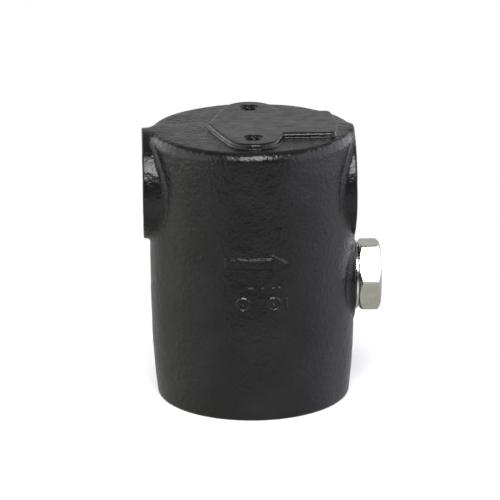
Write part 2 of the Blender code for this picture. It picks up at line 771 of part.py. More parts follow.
def valve_head():
    """A cone of 45 degrees on a shank that is riveted into the lever."""
    shoulder = VALVE_TIP - (VALVE_RADIUS - VALVE_TIP_RADIUS)
    profile = solid_profile(
        (VALVE_TIP_RADIUS, VALVE_TIP),
        (VALVE_RADIUS, shoulder),
        (VALVE_RADIUS, VALVE_BACK),
        (VALVE_SHANK_RADIUS, VALVE_BACK),
        (VALVE_SHANK_RADIUS, CRANK_LOW_X),
    )
    place(turned("valve_head", profile, STAINLESS, SCREW_STEPS), (0, 0, VALVE_HEIGHT), ALONG_X)


PIVOT = Vector((PIVOT_X, 0, PIVOT_HEIGHT))
TO_FLOAT = Vector((-math.cos(FLOAT_ANGLE), 0, -math.sin(FLOAT_ANGLE)))


def float_lever():
    """A bell crank: a hub on the pin, a crank down to the valve and a socket towards the float."""
    side = ALONG_Y * HUB_HALF_WIDTH
    lever = rod("float_lever", PIVOT - side, PIVOT + side, HUB_RADIUS, STAINLESS)
    crank = block(
        "lever_crank",
        (CRANK_LOW_X, -CRANK_HALF_WIDTH, CRANK_FOOT),
        (CRANK_HIGH_X, CRANK_HALF_WIDTH, PIVOT_HEIGHT),
    )
    socket = rod("lever_socket", PIVOT, PIVOT + TO_FLOAT * LEVER_SOCKET_END, LEVER_SOCKET_RADIUS)
    side += ALONG_Y * OVERRUN
    pin_hole = rod("lever_pin_hole", PIVOT - side, PIVOT + side, PIN_RADIUS + GAP)
    stud_start = PIVOT + TO_FLOAT * (STUD_START - GAP)
    stud_end = PIVOT + TO_FLOAT * (LEVER_SOCKET_END + OVERRUN)
    stud_hole = rod("lever_stud_hole", stud_start, stud_end, STUD_RADIUS + GAP)
    rivet_hole = boss(
        "lever_rivet_hole",
        CRANK_LOW_X - OVERRUN,
        CRANK_HIGH_X + OVERRUN,
        VALVE_HEIGHT,
        VALVE_SHANK_RADIUS + GAP,
        sides=SCREW_STEPS,
    )
    # The parts that are joined are placed where the lever stands, so the lever keeps its own place too.
    join(lever, crank, socket)
    cut(lever, pin_hole, stud_hole, rivet_hole)


def lever_bracket():
    """A bent strip: a plate on the riser and two ears that hold the pin."""
    back = RISER_FACE - GAP
    front = back - BRACKET_THICKNESS
    bracket = block(
        "lever_bracket",
        (front, -BRACKET_HALF_WIDTH, BRACKET_FOOT),
        (back, BRACKET_HALF_WIDTH, BRACKET_TOP),
        STAINLESS,
    )
    outer = EAR_INNER + BRACKET_THICKNESS
    ears = [
        block(f"ear_{i}", (EAR_FRONT, low, EAR_LOW), (back - LAP / 2, low + BRACKET_THICKNESS, EAR_HIGH))
        for i, low in enumerate((EAR_INNER, -outer))
    ]
    side = ALONG_Y * (outer + OVERRUN)
    pin_hole = rod("bracket_pin_hole", PIVOT - side, PIVOT + side, PIN_RADIUS + GAP)
    join(bracket, *ears)
    cut(bracket, pin_hole)
    for i, (y, z) in enumerate(bracket_screw_places()):
        start, end = (front - OVERRUN, y, z), (back + OVERRUN, y, z)
        cut(bracket, rod(f"plate_hole_{i}", start, end, SMALL_SCREW_RADIUS + GAP, sides=SCREW_STEPS))
        small_screw(
            f"bracket_screw_{i + 1}",
            (front - GAP, y, z),
            ALONG_X,
            RISER_FACE + BRACKET_SCREW_REACH - front + GAP,
        )


def pin_ring(name, inner_face, thickness, radius):
    """A flat ring on the pin, from a distance along it."""
    outer_face = inner_face + thickness
    bore = PIN_RADIUS + GAP
    profile = [(radius, outer_face), (radius, inner_face), (bore, inner_face), (bore, outer_face)]
    ring = turned(name, profile, STAINLESS, SCREW_STEPS)
    place(ring, PIVOT, ALONG_Y)


def pivot():
    """The pin, its clip, and the washers that centre the lever between the ears."""
    ear_outer = EAR_INNER + BRACKET_THICKNESS + GAP
    profile = solid_profile(
        (PIN_RADIUS, ear_outer + PIN_TAIL),
        (PIN_RADIUS, -ear_outer),
        (PIN_HEAD_RADIUS, -ear_outer),
        (PIN_HEAD_RADIUS, -ear_outer - PIN_HEAD),
    )
    place(turned("pivot_pin", profile, STAINLESS, SCREW_STEPS), PIVOT, ALONG_Y)
    pin_ring("pin_clip", ear_outer, WASHER_THICKNESS, PIN_HEAD_RADIUS)
    pin_ring("pivot_washer_1", HUB_HALF_WIDTH + GAP, WASHER_THICKNESS, HUB_RADIUS - GAP)
    washer_start = -HUB_HALF_WIDTH - GAP - WASHER_THICKNESS
    pin_ring("pivot_washer_2", washer_start, WASHER_THICKNESS, HUB_RADIUS - GAP)


def ball_float():
    """Two pressed half balls, seam to seam, with a stud towards the lever and its lock nut."""
    centre = PIVOT + TO_FLOAT * FLOAT_ARM
    inner = FLOAT_RADIUS - FLOAT_WALL
    seam = GAP / 2
    outer_lift = math.degrees(math.asin(seam / FLOAT_RADIUS))
    inner_lift = math.degrees(math.asin(seam / inner))
    half = [
        *arc((0, 0), FLOAT_RADIUS, 90, outer_lift, FLOAT_RINGS),
        *arc((0, 0), inner, inner_lift, 90, FLOAT_RINGS),
    ]
    half[0], half[-1] = (0, FLOAT_RADIUS), (0, inner)
    place(turned("float_near_shell", half, STAINLESS), centre, -TO_FLOAT)
    place(turned("float_far_shell", half, STAINLESS), centre, TO_FLOAT)
    collar_end = FLOAT_ARM - FLOAT_RADIUS - GAP
    stud_profile = solid_profile(
        (STUD_COLLAR_RADIUS, collar_end),
        (STUD_COLLAR_RADIUS, STUD_COLLAR),
        (STUD_RADIUS, STUD_COLLAR),
        (STUD_RADIUS, STUD_START),
    )
    place(turned("float_stud", stud_profile, STAINLESS, SCREW_STEPS), PIVOT, TO_FLOAT)
    nut_start, nut_end = PIVOT + TO_FLOAT * NUT_START, PIVOT + TO_FLOAT * NUT_END
    nut = rod("float_lock_nut", nut_start, nut_end, NUT_RADIUS, STAINLESS, sides=6)
    over = TO_FLOAT * OVERRUN
    cut(nut, rod("nut_hole", nut_start - over, nut_end + over, STUD_RADIUS + GAP))


def vent_seat():
    end = RISER_VOID_FACE
    flange = RISER_FACE - GAP
    profile = [
        (VENT_THREAD_RADIUS, end),
        (VENT_THREAD_RADIUS, flange),
        (VENT_SEAT_RADIUS, flange),
        (VENT_SEAT_RADIUS, VENT_SEAT_FACE),
        (VENT_ORIFICE_RADIUS, VENT_SEAT_FACE),
        (VENT_ORIFICE_RADIUS, end),
    ]
    place(turned("vent_seat", profile, STAINLESS), (0, 0, VENT_HEIGHT), ALONG_X)


def vent_valve():
    """Stands clear of its seat, as it does when the trap is cold, with its stem in the capsule."""
    face = VENT_SEAT_FACE - GAP - VENT_TRAVEL
    back = face - VENT_VALVE_HEAD
    profile = solid_profile(
        (VENT_VALVE_RADIUS, face),
        (VENT_VALVE_RADIUS, back),
        (VENT_STEM_RADIUS, back),
        (VENT_STEM_RADIUS, CAPSULE_SEAM + GAP),
    )
    place(turned("vent_valve", profile, STAINLESS, SCREW_STEPS), (0, 0, VENT_HEIGHT), ALONG_X)


def vent_capsule():
    """Two shallow cups, rim to rim. The front one has a hole for the valve's stem."""
    seam = CAPSULE_SEAM + GAP / 2
    hole = VENT_STEM_RADIUS + GAP
    bowl = CAPSULE_RADIUS - CAPSULE_RIM
    front = [
        (hole, CAPSULE_FRONT),
        (bowl - SMALL_CHAMFER, CAPSULE_FRONT),
        (bowl, CAPSULE_FRONT - SMALL_CHAMFER),
        (bowl, seam + CAPSULE_WALL),
        (CAPSULE_RADIUS, seam + CAPSULE_WALL),
        (CAPSULE_RADIUS, seam),
        (bowl - CAPSULE_WALL, seam),
        (bowl - CAPSULE_WALL, CAPSULE_FRONT - SMALL_CHAMFER),
        (bowl - SMALL_CHAMFER - CAPSULE_WALL / 2, CAPSULE_FRONT - CAPSULE_WALL),
        (hole, CAPSULE_FRONT - CAPSULE_WALL),
    ]
    place(turned("vent_capsule_front", front, STAINLESS), (0, 0, VENT_HEIGHT), ALONG_X)
    depth = CAPSULE_SEAM - GAP / 2 - CAPSULE_BACK
    back = [
        (0, depth),
        (bowl - SMALL_CHAMFER, depth),
        (bowl, depth - SMALL_CHAMFER),
        (bowl, CAPSULE_WALL),
        (CAPSULE_RADIUS, CAPSULE_WALL),
        (CAPSULE_RADIUS, 0),
        (bowl - CAPSULE_WALL, 0),
        (bowl - CAPSULE_WALL, depth - SMALL_CHAMFER),
        (bowl - SMALL_CHAMFER - CAPSULE_WALL / 2, depth - CAPSULE_WALL),
        (0, depth - CAPSULE_WALL),
    ]
    seam_place = (CAPSULE_SEAM - GAP / 2, 0, VENT_HEIGHT)
    place(turned("vent_capsule_back", back, STAINLESS), seam_place, -ALONG_X)


def vent_cage():
    """A cup with windows round its side, which holds the capsule to the seat."""
    outer = CAGE_INNER_RADIUS + CAGE_WALL
    foot = RISER_FACE - GAP
    ring_start = VENT_SEAT_FACE + 2 * GAP
    lip = CAGE_BACK + CAGE_WALL
    profile = [
        (outer, foot),
        (outer, CAGE_BACK),
        (CAGE_LIP_RADIUS, CAGE_BACK),
        (CAGE_LIP_RADIUS, lip),
        (CAGE_INNER_RADIUS, lip),
        (CAGE_INNER_RADIUS, ring_start),
        (VENT_SEAT_RADIUS + GAP, ring_start),
        (VENT_SEAT_RADIUS + GAP, foot),
    ]
    cage = turned("vent_cage", profile, STAINLESS)
    place(cage, (0, 0, VENT_HEIGHT), ALONG_X)
    reach, narrow = outer + OVERRUN, CAGE_WINDOW_HALF_WIDTH
    for i, (x, y) in enumerate(((reach, narrow), (narrow, reach))):
        window = block(f"cage_window_{i}", (-x, -y, lip + LAP), (x, y, ring_start - LAP))
        window.parent = cage
        cut(cage, window)


def inlet_baffle():
    """A bent plate that hangs from the roof in front of the inlet."""
    top = CHAMBER_ROOF - GAP
    tab = top - BAFFLE_THICKNESS
    baffle = block(
        "inlet_baffle",
        (BAFFLE_PLATE_X, -BAFFLE_HALF_WIDTH, BAFFLE_FOOT),
        (BAFFLE_PLATE_X + BAFFLE_THICKNESS, BAFFLE_HALF_WIDTH, top - LAP / 2),
        STAINLESS,
    )
    low = (BAFFLE_PLATE_X + LAP / 2, LAP - BAFFLE_HALF_WIDTH, tab)
    high = (BAFFLE_TAB_END, BAFFLE_HALF_WIDTH - LAP, top)
    join(baffle, block("baffle_tab", low, high))
    for i, y in enumerate((-BAFFLE_SCREW_OFFSET, BAFFLE_SCREW_OFFSET)):
        start, end = (BAFFLE_SCREW_X, y, tab - OVERRUN), (BAFFLE_SCREW_X, y, top + OVERRUN)
        cut(baffle, rod(f"tab_hole_{i}", start, end, SMALL_SCREW_RADIUS + GAP, sides=SCREW_STEPS))
        small_screw(
            f"baffle_screw_{i + 1}",
            (BAFFLE_SCREW_X, y, tab - GAP),
            ALONG_Z,
            CHAMBER_ROOF + BAFFLE_SCREW_REACH - tab + GAP,
        )


body()
bottom_cover()
cover_gasket()
cover_screws()
drain_plug()
access_plug()
valve_seat()
valve_head()
float_lever()
lever_bracket()
pivot()
ball_float()
vent_seat()
vent_valve()
vent_capsule()
vent_cage()
inlet_baffle()
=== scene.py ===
"""Looks for a ball-float steam trap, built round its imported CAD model.

Shapes are worked out in millimetres, in the CAD model's own frame, and turned to metres as meshes.
"""

import math

import bmesh
import bpy
import numpy as np
from mathutils import Matrix, Vector


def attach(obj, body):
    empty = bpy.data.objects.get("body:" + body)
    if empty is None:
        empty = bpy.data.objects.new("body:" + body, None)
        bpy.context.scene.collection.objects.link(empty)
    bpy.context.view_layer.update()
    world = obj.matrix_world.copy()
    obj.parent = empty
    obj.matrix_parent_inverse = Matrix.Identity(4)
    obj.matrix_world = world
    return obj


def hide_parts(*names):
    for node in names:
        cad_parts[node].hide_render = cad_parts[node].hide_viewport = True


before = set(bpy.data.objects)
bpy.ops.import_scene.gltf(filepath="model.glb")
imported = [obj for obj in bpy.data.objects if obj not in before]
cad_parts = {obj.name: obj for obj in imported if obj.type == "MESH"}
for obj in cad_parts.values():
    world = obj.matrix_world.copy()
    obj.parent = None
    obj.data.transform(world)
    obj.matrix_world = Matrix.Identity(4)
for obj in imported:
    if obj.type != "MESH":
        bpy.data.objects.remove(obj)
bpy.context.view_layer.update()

MM = 0.001
HOUSING, FLOAT_ARM, VENT = "housing", "float_arm", "vent_valve"

# The casting's outside. Every length is in millimetres.
BODY_RADIUS, BODY_TOP, TOP_EDGE, TOP_TRIM, FOOT_EDGE = 50.2, 134.4, 5.0, 0.8, 1.2
SKIRT_START, SKIRT_DRAW, FLAT_FOOT = 53.1, 2.83, 4.0
PORT_HEIGHT, PORT_RADIUS, INLET_FACE, OUTLET_FACE = 107.0, 27.0, -53.2, 49.8
PLUG_HEIGHT, PLUG_BOSS_RADIUS = 58.6, 20.5
BOSS_FILLET, BOSS_VALLEY, FACE_EDGE = 2.2, 5.0, 0.9
PAD_EDGE, PAD_FILLET, PAD_REACH = 1.2, 0.6, 6
PAD_SLOPE = math.radians(10)  # how far its sides lean from upright
PAD_TOP, PAD_HOLE = 136.7, 29.2
PAD_CIRCLES = ((0, PAD_HOLE, 12.2), (0, -PAD_HOLE, 12.2), (13.8, 0, 6), (-16, 0, 5))
ARM_CIRCLES = ((0, 18.4, 3), (0, -18.4, 3), (36.7, 18.4, 3), (36.7, -18.4, 3), (38.9, 0, 3))

# The raised arrow, and the marks below it
FRONT_DEPTH, FRONT_HALF_WIDTH, FRONT_LOW, FRONT_HIGH = -30, 26, 48, 90
ARROW_HEIGHT, ARROW_RELIEF, ARROW_SLOPE = 80.0, 0.9, 0.9
ARROW = ((-14.8, 2.6), (7.4, 2.6), (7.4, 4.9), (14.9, 0), (7.4, -4.8), (7.4, -2.2), (-14.8, -2.2))
MARK_RELIEF, MARK_SLOPE = 0.65, 0.8
MARKS_MIDDLE, MARKS_HALF_SIZE = (4.2, 61.3), (15.5, 8.2)
DIALS = ((-6.3, 60), (8.3, 60))
DIAL_RADIUS, DIAL_LINE = 3.0, 0.4
PIP_LOW, PIP_HIGH, PIP_LINE = 1.1, 0.3, 0.35  # how far below its dial's centre, and half as wide
MARK_BAR, MARK_BAR_LINE = ((14.4, 58), (14.4, 62)), 0.45
MARK_DOTS = (-3.2, -1.8, 2.9, 8.0, 10.9)
MARK_DOT_HEIGHT, MARK_DOT_RADIUS = 67.9, 0.55

# The casting's mesh and its waviness
NET_LOW, NET_HIGH, NET_STEP = (-58, -56, -5), (57, 56, 142), 1.1
NARROW, NARROWEST = 2.4, 1.2  # how near a feature the faces are split, and split again
FAR, TOP_FEATURES, VALLEY_WIDTH = 99.0, 1.5, 1.2
WAVE_SEED, WAVES_OF_A_SIZE = 11, 7
WAVES = ((34, 0.09), (17, 0.05), (8, 0.028), (4.5, 0.018))  # wavelength and height

# Threads: minor radius, depth, pitch and the radius of the mouth
PIPE_PITCH = 1.814
PIPE_THREAD = (12.05, 1.1, PIPE_PITCH, 13.9)
PAD_THREAD = (4.2, 0.75, 1.5, 5.8)
INLET_THREAD_LENGTH, OUTLET_THREAD_LENGTH, PAD_THREAD_LENGTH = 18.2, 16.75, 16
STEPS_PER_TURN = 8

# The hollows in the casting: radii round Z, and heights
CHAMBER_RADIUS, CHAMBER_ROOF, ROOF_CORNER = 43.5, 126, 4
LEDGE_RADIUS, LEDGE_LOW, LEDGE_HIGH = 33, 13.8, 22
COVER_RECESS, RISER_HALF_WIDTH, RISER_WALL = 43.3, 17.4, (23, 33)
SEAT_HOLE, VENT_HOLE, M4_HOLE, M5_HOLE = 8.8, 5.3, 2.3, 2.8
PLUG_BORE, PLUG_BORE_DEPTH = 12.4, 16.75
BELOW = -2  # how far cuts start outside the metal

# Where small parts go
X_WAY, Y_WAY, Z_WAY, BACK_WAY = (1, 0, 0), (0, 1, 0), (0, 0, 1), (-1, 0, 0)
PLUG_AXIS, PORT_AXIS = (0, 0, PLUG_HEIGHT), (0, 0, PORT_HEIGHT)
COVER_SCREWS = [
    (37.2 * math.cos(a), 37.2 * math.sin(a)) for a in np.radians([30, 90, 150, 210, 270, 330])
]
DRAIN = (-16, 0, 0)
BRACKET_SCREWS, BRACKET_SCREW_HEIGHT = (-5.5, 5.5), 86.5
BAFFLE_SCREWS, BAFFLE_SCREW_X = (-7.5, 7.5), -21.5
PIVOT = (17.0, 0, 75)
FLOAT_DROP, FLOAT_REACH = math.radians(43), 37  # the float's arm, below level, and its length

# Socket screws: the radius and the head's radius and height, then the socket's radius and depth
M5_SCREW = (2.5, 4.25, 5, 2.3, 2.5)
M4_SCREW = (2, 3.3, 3, 1.7, 1.8)

# The access plug
HEX_APOTHEM, HEX_START, HEX_END, HEX_CHAMFER, HEX_FACE = 16.0, 51.7, 62.5, 2.4, 15.5
HEX_TURN = math.radians(34.5)  # as far as it was screwed in
WASHER_START, WASHER_END, WASHER_RADIUS, WASHER_BORE = 50.1, 51.4, 16.75, 13.8
SPIGOT_START, SPIGOT_END = 37.8, 49.0


# ---------------------------------------------------------------- distances


def round_and(a, b, radius):
    """Where two shapes overlap, with the edge between them rounded."""
    return np.minimum(np.maximum(a, b), -radius) + np.hypot(
        np.maximum(a + radius, 0), np.maximum(b + radius, 0)
    )


def round_or(a, b, radius):
    """Two shapes together, with a fillet between them."""
    return -round_and(-a, -b, radius)


def band_distance(x, y, circles, directions=120):
    """The signed distance to a band pulled tight around circles."""
    best = np.full(x.shape, -np.inf)
    for i in range(directions):
        a = math.tau * i / directions
        c, s = math.cos(a), math.sin(a)
        reach = max(cx * c + cy * s + r for cx, cy, r in circles)
        best = np.maximum(best, x * c + y * s - reach)
    return best


def outline_distance(x, y, outline):
    """The signed distance to a closed outline of straight lines, negative inside."""
    nearest = np.full(x.shape, np.inf)
    inside = np.zeros(x.shape, bool)
    for (ax, ay), (bx, by) in zip(outline, (*outline[1:], outline[0])):
        ex, ey = bx - ax, by - ay
        t = np.clip(((x - ax) * ex + (y - ay) * ey) / (ex * ex + ey * ey), 0, 1)
        nearest = np.minimum(nearest, np.hypot(x - ax - t * ex, y - ay - t * ey))
        if ay != by:
            inside ^= ((ay > y) != (by > y)) & (x < ex * (y - ay) / ey + ax)
    return np.where(inside, -nearest, nearest)


def rise(distance, width):
    """1 well inside an outline and 0 outside it, with a smooth slope of this width between."""
    t = np.clip(0.5 - distance / width, 0, 1)
    return t * t * (3 - 2 * t)


def bar_distance(x, y, start, end, half_width):
    """The signed distance to a straight bar with round ends."""
    ex, ey = end[0] - start[0], end[1] - start[1]
    t = np.clip(((x - start[0]) * ex + (y - start[1]) * ey) / (ex * ex + ey * ey), 0, 1)
    return np.hypot(x - start[0] - t * ex, y - start[1] - t * ey) - half_width


def marks_relief(x, z):
    """Blank casting marks below the arrow: two dial rings with plain pips, a short bar and a row of dots."""
    shapes = [bar_distance(x, z, *MARK_BAR, MARK_BAR_LINE)]
    for cx, cz in DIALS:
        shapes.append(np.abs(np.hypot(x - cx, z - cz) - DIAL_RADIUS) - DIAL_LINE)
        shapes.append(bar_distance(x, z, (cx, cz - PIP_LOW), (cx, cz - PIP_HIGH), PIP_LINE))
    shapes += [np.hypot(x - cx, z - MARK_DOT_HEIGHT) - MARK_DOT_RADIUS for cx in MARK_DOTS]
    return MARK_RELIEF * rise(np.minimum.reduce(shapes), MARK_SLOPE)


def on_front(x, y, z):
    """Which points may be on the arrow or on the marks."""
    return (y < FRONT_DEPTH) & (np.abs(x) < FRONT_HALF_WIDTH) & (z > FRONT_LOW) & (z < FRONT_HIGH)


def top_outline(x, y):
    """The signed distance to the outline of the pad and the arm together."""
    return np.minimum(band_distance(x, y, PAD_CIRCLES), band_distance(x, y, ARM_CIRCLES))


def casting_distance(p):
    """The signed distance to the casting's outside."""
    x, y, z = p[:, 0], p[:, 1], p[:, 2]
    draw = SKIRT_DRAW * (np.clip(SKIRT_START - z, 0, None) / SKIRT_START) ** 2
    side = np.hypot(x, y) - BODY_RADIUS + draw
    shape = round_and(round_and(side, z - BODY_TOP, TOP_EDGE), -z, FOOT_EDGE)
    plug_boss = np.maximum(np.hypot(y, z - PLUG_HEIGHT) - PLUG_BOSS_RADIUS, -x)
    bosses = round_or(np.hypot(y, z - PORT_HEIGHT) - PORT_RADIUS, plug_boss, BOSS_VALLEY)
    shape = round_or(shape, bosses, BOSS_FILLET)
    shape = round_and(shape, z - BODY_TOP, TOP_TRIM)
    shape = round_and(shape, np.maximum(INLET_FACE - x, x - OUTLET_FACE), FACE_EDGE)
    high = z > BODY_TOP - PAD_REACH
    if high.any():
        flat, over = top_outline(x[high], y[high]), z[high] - PAD_TOP
        pad = round_and(flat * math.cos(PAD_SLOPE) + over * math.sin(PAD_SLOPE), over, PAD_EDGE)
        shape[high] = round_or(shape[high], pad, PAD_FILLET)
    front = on_front(x, y, z)
    if front.any():
        fx, fz = x[front], z[front]
        arrow = outline_distance(fx, fz - ARROW_HEIGHT, ARROW)
        shape[front] -= ARROW_RELIEF * rise(arrow, ARROW_SLOPE) + marks_relief(fx, fz)
    return shape


# ---------------------------------------------------------------- meshes


def net(distance, low, high, step):
    """A quad mesh over the surface where the distance is 0, from a grid of cells."""
    low = np.array(low, float)
    axes = [np.arange(a, b + step, step) for a, b in zip(low, high)]
    nodes = np.stack(np.meshgrid(*axes, indexing="ij"), -1)
    inside = (distance(nodes.reshape(-1, 3)) < 0).reshape(nodes.shape[:3])
    count = sum(
        inside[i : i - 1 or None, j : j - 1 or None, k : k - 1 or None].astype(int)
        for i in (0, 1)
        for j in (0, 1)
        for k in (0, 1)
    )
    mixed = (count > 0) & (count < 8)
    number = np.full(mixed.shape, -1)
    number[mixed] = np.arange(mixed.sum())
    points = low + (np.argwhere(mixed) + 0.5) * step
    quads = []
    for axis in range(3):
        u, v = (axis + 1) % 3, (axis + 2) % 3
        first = np.delete(inside, -1, axis)
        crossed = np.argwhere(first != np.delete(inside, 0, axis))
        corners = []
        for du, dv in ((-1, -1), (0, -1), (0, 0), (-1, 0)):
            cell = crossed.copy()
            cell[:, u] += du
            cell[:, v] += dv
            corners.append(number[tuple(cell.T)])
        quad = np.stack(corners, 1)
        outward = first[tuple(crossed.T)]
        quads.append(np.where(outward[:, None], quad, quad[:, ::-1]))
    return points, np.concatenate(quads)


def settle(distance, points, rounds=4, reach=1.5):
    """Moves points onto the surface where the distance is 0, by at most this reach each round."""
    small, flattest, shortest = 0.01, 0.1, 1e-9
    for _ in range(rounds):
        here = distance(points)
        slope = np.stack(
            [(distance(points + small * axis) - here) / small for axis in np.eye(3)], 1
        )
        step = here[:, None] * slope / np.maximum((slope**2).sum(1), flattest)[:, None]
        length = np.linalg.norm(step, axis=1)
        points = points - step * np.minimum(1, reach / np.maximum(length, shortest))[:, None]
    return points


def relax(points, edges, share=0.5):
    """Moves each point towards the middle of its neighbours."""
    total, count = np.zeros_like(points), np.zeros(len(points))
    for a, b in ((0, 1), (1, 0)):
        np.add.at(total, edges[:, a], points[edges[:, b]])
        np.add.at(count, edges[:, a], 1)
    return points + share * (total / np.maximum(count, 1)[:, None] - points)


def add_mesh(name, points, faces, material=None):
    """An object from points in millimetres."""
    mesh = bpy.data.meshes.new(name)
    mesh.from_pydata((np.asarray(points, float) * MM).tolist(), [], [list(f) for f in faces])
    mesh.update()
    shape = bpy.data.objects.new(name, mesh)
    bpy.context.scene.collection.objects.link(shape)
    if material:
        mesh.materials.append(material)
    return shape


def shade(shape, degrees=32):
    """Smooth shading, with edges sharper than this left sharp."""
    shape.data.shade_smooth()
    shape.data.set_sharp_from_angle(angle=math.radians(degrees))


def applied(shape):
    """Replaces a shape's mesh with the one that its modifiers make."""
    bpy.context.view_layer.update()
    evaluated = shape.evaluated_get(bpy.context.evaluated_depsgraph_get())
    mesh = bpy.data.meshes.new_from_object(evaluated)
    shape.modifiers.clear()
    shape.data = mesh
    return shape


def combine(shape, tools, operation="DIFFERENCE"):
    """Cuts closed tools out of a closed shape, or joins them to it. The tools are used up."""
    for tool in tools:
        modifier = shape.modifiers.new(tool.name, "BOOLEAN")
        modifier.solver = "MANIFOLD"
        modifier.operation = operation
        modifier.object = tool
    applied(shape)
    for tool in tools:
        bpy.data.objects.remove(tool)
    return shape


def soften(profile, radius, pieces=3):
    """A profile with its corners rounded. Corners on the axis stay, and so do corners that hardly bend."""
    straight, share, short = -0.93, 0.42, 1e-9
    profile = [np.array(p, float) for p in profile]
    closed = profile[0][0] > 0
    out = []
    for i, here in enumerate(profile):
        if not closed and i in (0, len(profile) - 1):
            out.append(tuple(here))
            continue
        before, after = profile[i - 1] - here, profile[(i + 1) % len(profile)] - here
        a, b = np.linalg.norm(before), np.linalg.norm(after)
        if min(a, b) < short or before @ after / (a * b) < straight:
            out.append(tuple(here))
            continue
        reach = min(radius, share * a, share * b)
        start, end = here + before / a * reach, here + after / b * reach
        for k in range(pieces + 1):
            t = k / pieces
            out.append(tuple((1 - t) ** 2 * start + 2 * t * (1 - t) * here + t * t * end))
    return out


def angles_round(steps):
    """Even angles round a full turn."""
    return np.arange(steps) * math.tau / steps


def turned_mesh(rows, turn, closed=False):
    """Points and faces of rings of (radius, height) about Z. A radius is one number or one for each angle."""
    on_axis = 1e-6
    points, rings = [], []
    for radius, height in rows:
        start = len(points)
        if np.max(radius) < on_axis:
            points.append((0, 0, height))
            rings.append([start] * len(turn))
        else:
            radii = np.broadcast_to(radius, len(turn))
            points += [(r * math.cos(t), r * math.sin(t), height) for r, t in zip(radii, turn)]
            rings.append(list(range(start, start + len(turn))))
    faces = []
    for upper, lower in zip(rings, rings[1:] + rings[:1] if closed else rings[1:]):
        for i in range(len(turn)):
            j = (i + 1) % len(turn)
            faces.append(list(dict.fromkeys([upper[i], lower[i], lower[j], upper[j]])))
    return np.array(points), faces


def placed(points, at, along):
    """Points about Z, turned to run along a direction and moved to a place."""
    turn = Vector((0, 0, 1)).rotation_difference(Vector(along)).to_matrix()
    return points @ np.array(turn).T + np.array(at, float)


def turned(name, profile, material=None, at=(0, 0, 0), along=Z_WAY, steps=72, edge=0.2):
    """A turned piece. Its profile runs down the outer side from the top, as seen with its axis upright.
    A profile that starts off the axis is a closed ring."""
    profile = soften(profile, edge) if edge else profile
    points, faces = turned_mesh(profile, angles_round(steps), profile[0][0] > 0)
    shape = add_mesh(name, placed(points, at, along), faces, material)
    outwards(shape)
    shade(shape)
    return shape


def outwards(shape):
    """Makes every face look outwards."""
    work = bmesh.new()
    work.from_mesh(shape.data)
    bmesh.ops.recalc_face_normals(work, faces=work.faces)
    work.to_mesh(shape.data)
    work.free()


def prism(name, radius, low, high, sides=6, at=(0, 0, 0), along=Z_WAY):
    """A regular prism, used to cut or to join."""
    angles = [math.tau * i / sides for i in range(sides)]
    ring = [(radius * math.cos(a), radius * math.sin(a)) for a in angles]
    points = np.array([(x, y, z) for z in (low, high) for x, y in ring])
    faces = [list(range(sides))[::-1], list(range(sides, 2 * sides))]
    faces += [[i, (i + 1) % sides, (i + 1) % sides + sides, i + sides] for i in range(sides)]
    return add_mesh(name, placed(points, at, along), faces)


def box(name, low, high):
    """A box between two corners, used to cut or to join."""
    x, y, z = zip(low, high)
    points = [(a, b, c) for c in z for b in y for a in x]
    faces = [(0, 2, 3, 1), (4, 5, 7, 6), (0, 1, 5, 4), (2, 6, 7, 3), (0, 4, 6, 2), (1, 3, 7, 5)]
    return add_mesh(name, points, faces)


def thread_tooth(phase):
    """How full a thread is across its pitch, from 0 in the root to 1 on the flat crest."""
    return np.clip(1.25 * (1 - np.abs(2 * phase - 1)) - 0.12, 0, 1)


def threaded_bore(name, thread, length, at, along, around=72):
    """What a tapped hole takes out. It starts outside the face and goes in against its direction."""
    minor, depth, pitch, mouth = thread
    over, fade, short, last_turn = 2.0, 2 * pitch, 0.01, 0.3
    turn = angles_round(around)
    stations = [-over, -short, *np.arange(short, length - last_turn, pitch / STEPS_PER_TURN), length]
    rows = []
    for s in stations:
        tooth = thread_tooth((s / pitch - turn / math.tau) % 1)
        share = np.clip((length - s) / fade, 0, 1) if s > 0 else 0
        rows.append((np.maximum(minor + depth * tooth * share, mouth - max(s, 0)), -s))
    points, sides = turned_mesh(rows, turn)
    ends = [list(range(around)), list(range(len(points) - around, len(points)))[::-1]]
    shape = add_mesh(name, placed(points, at, along), ends + sides)
    outwards(shape)
    return shape


# ---------------------------------------------------------------- materials


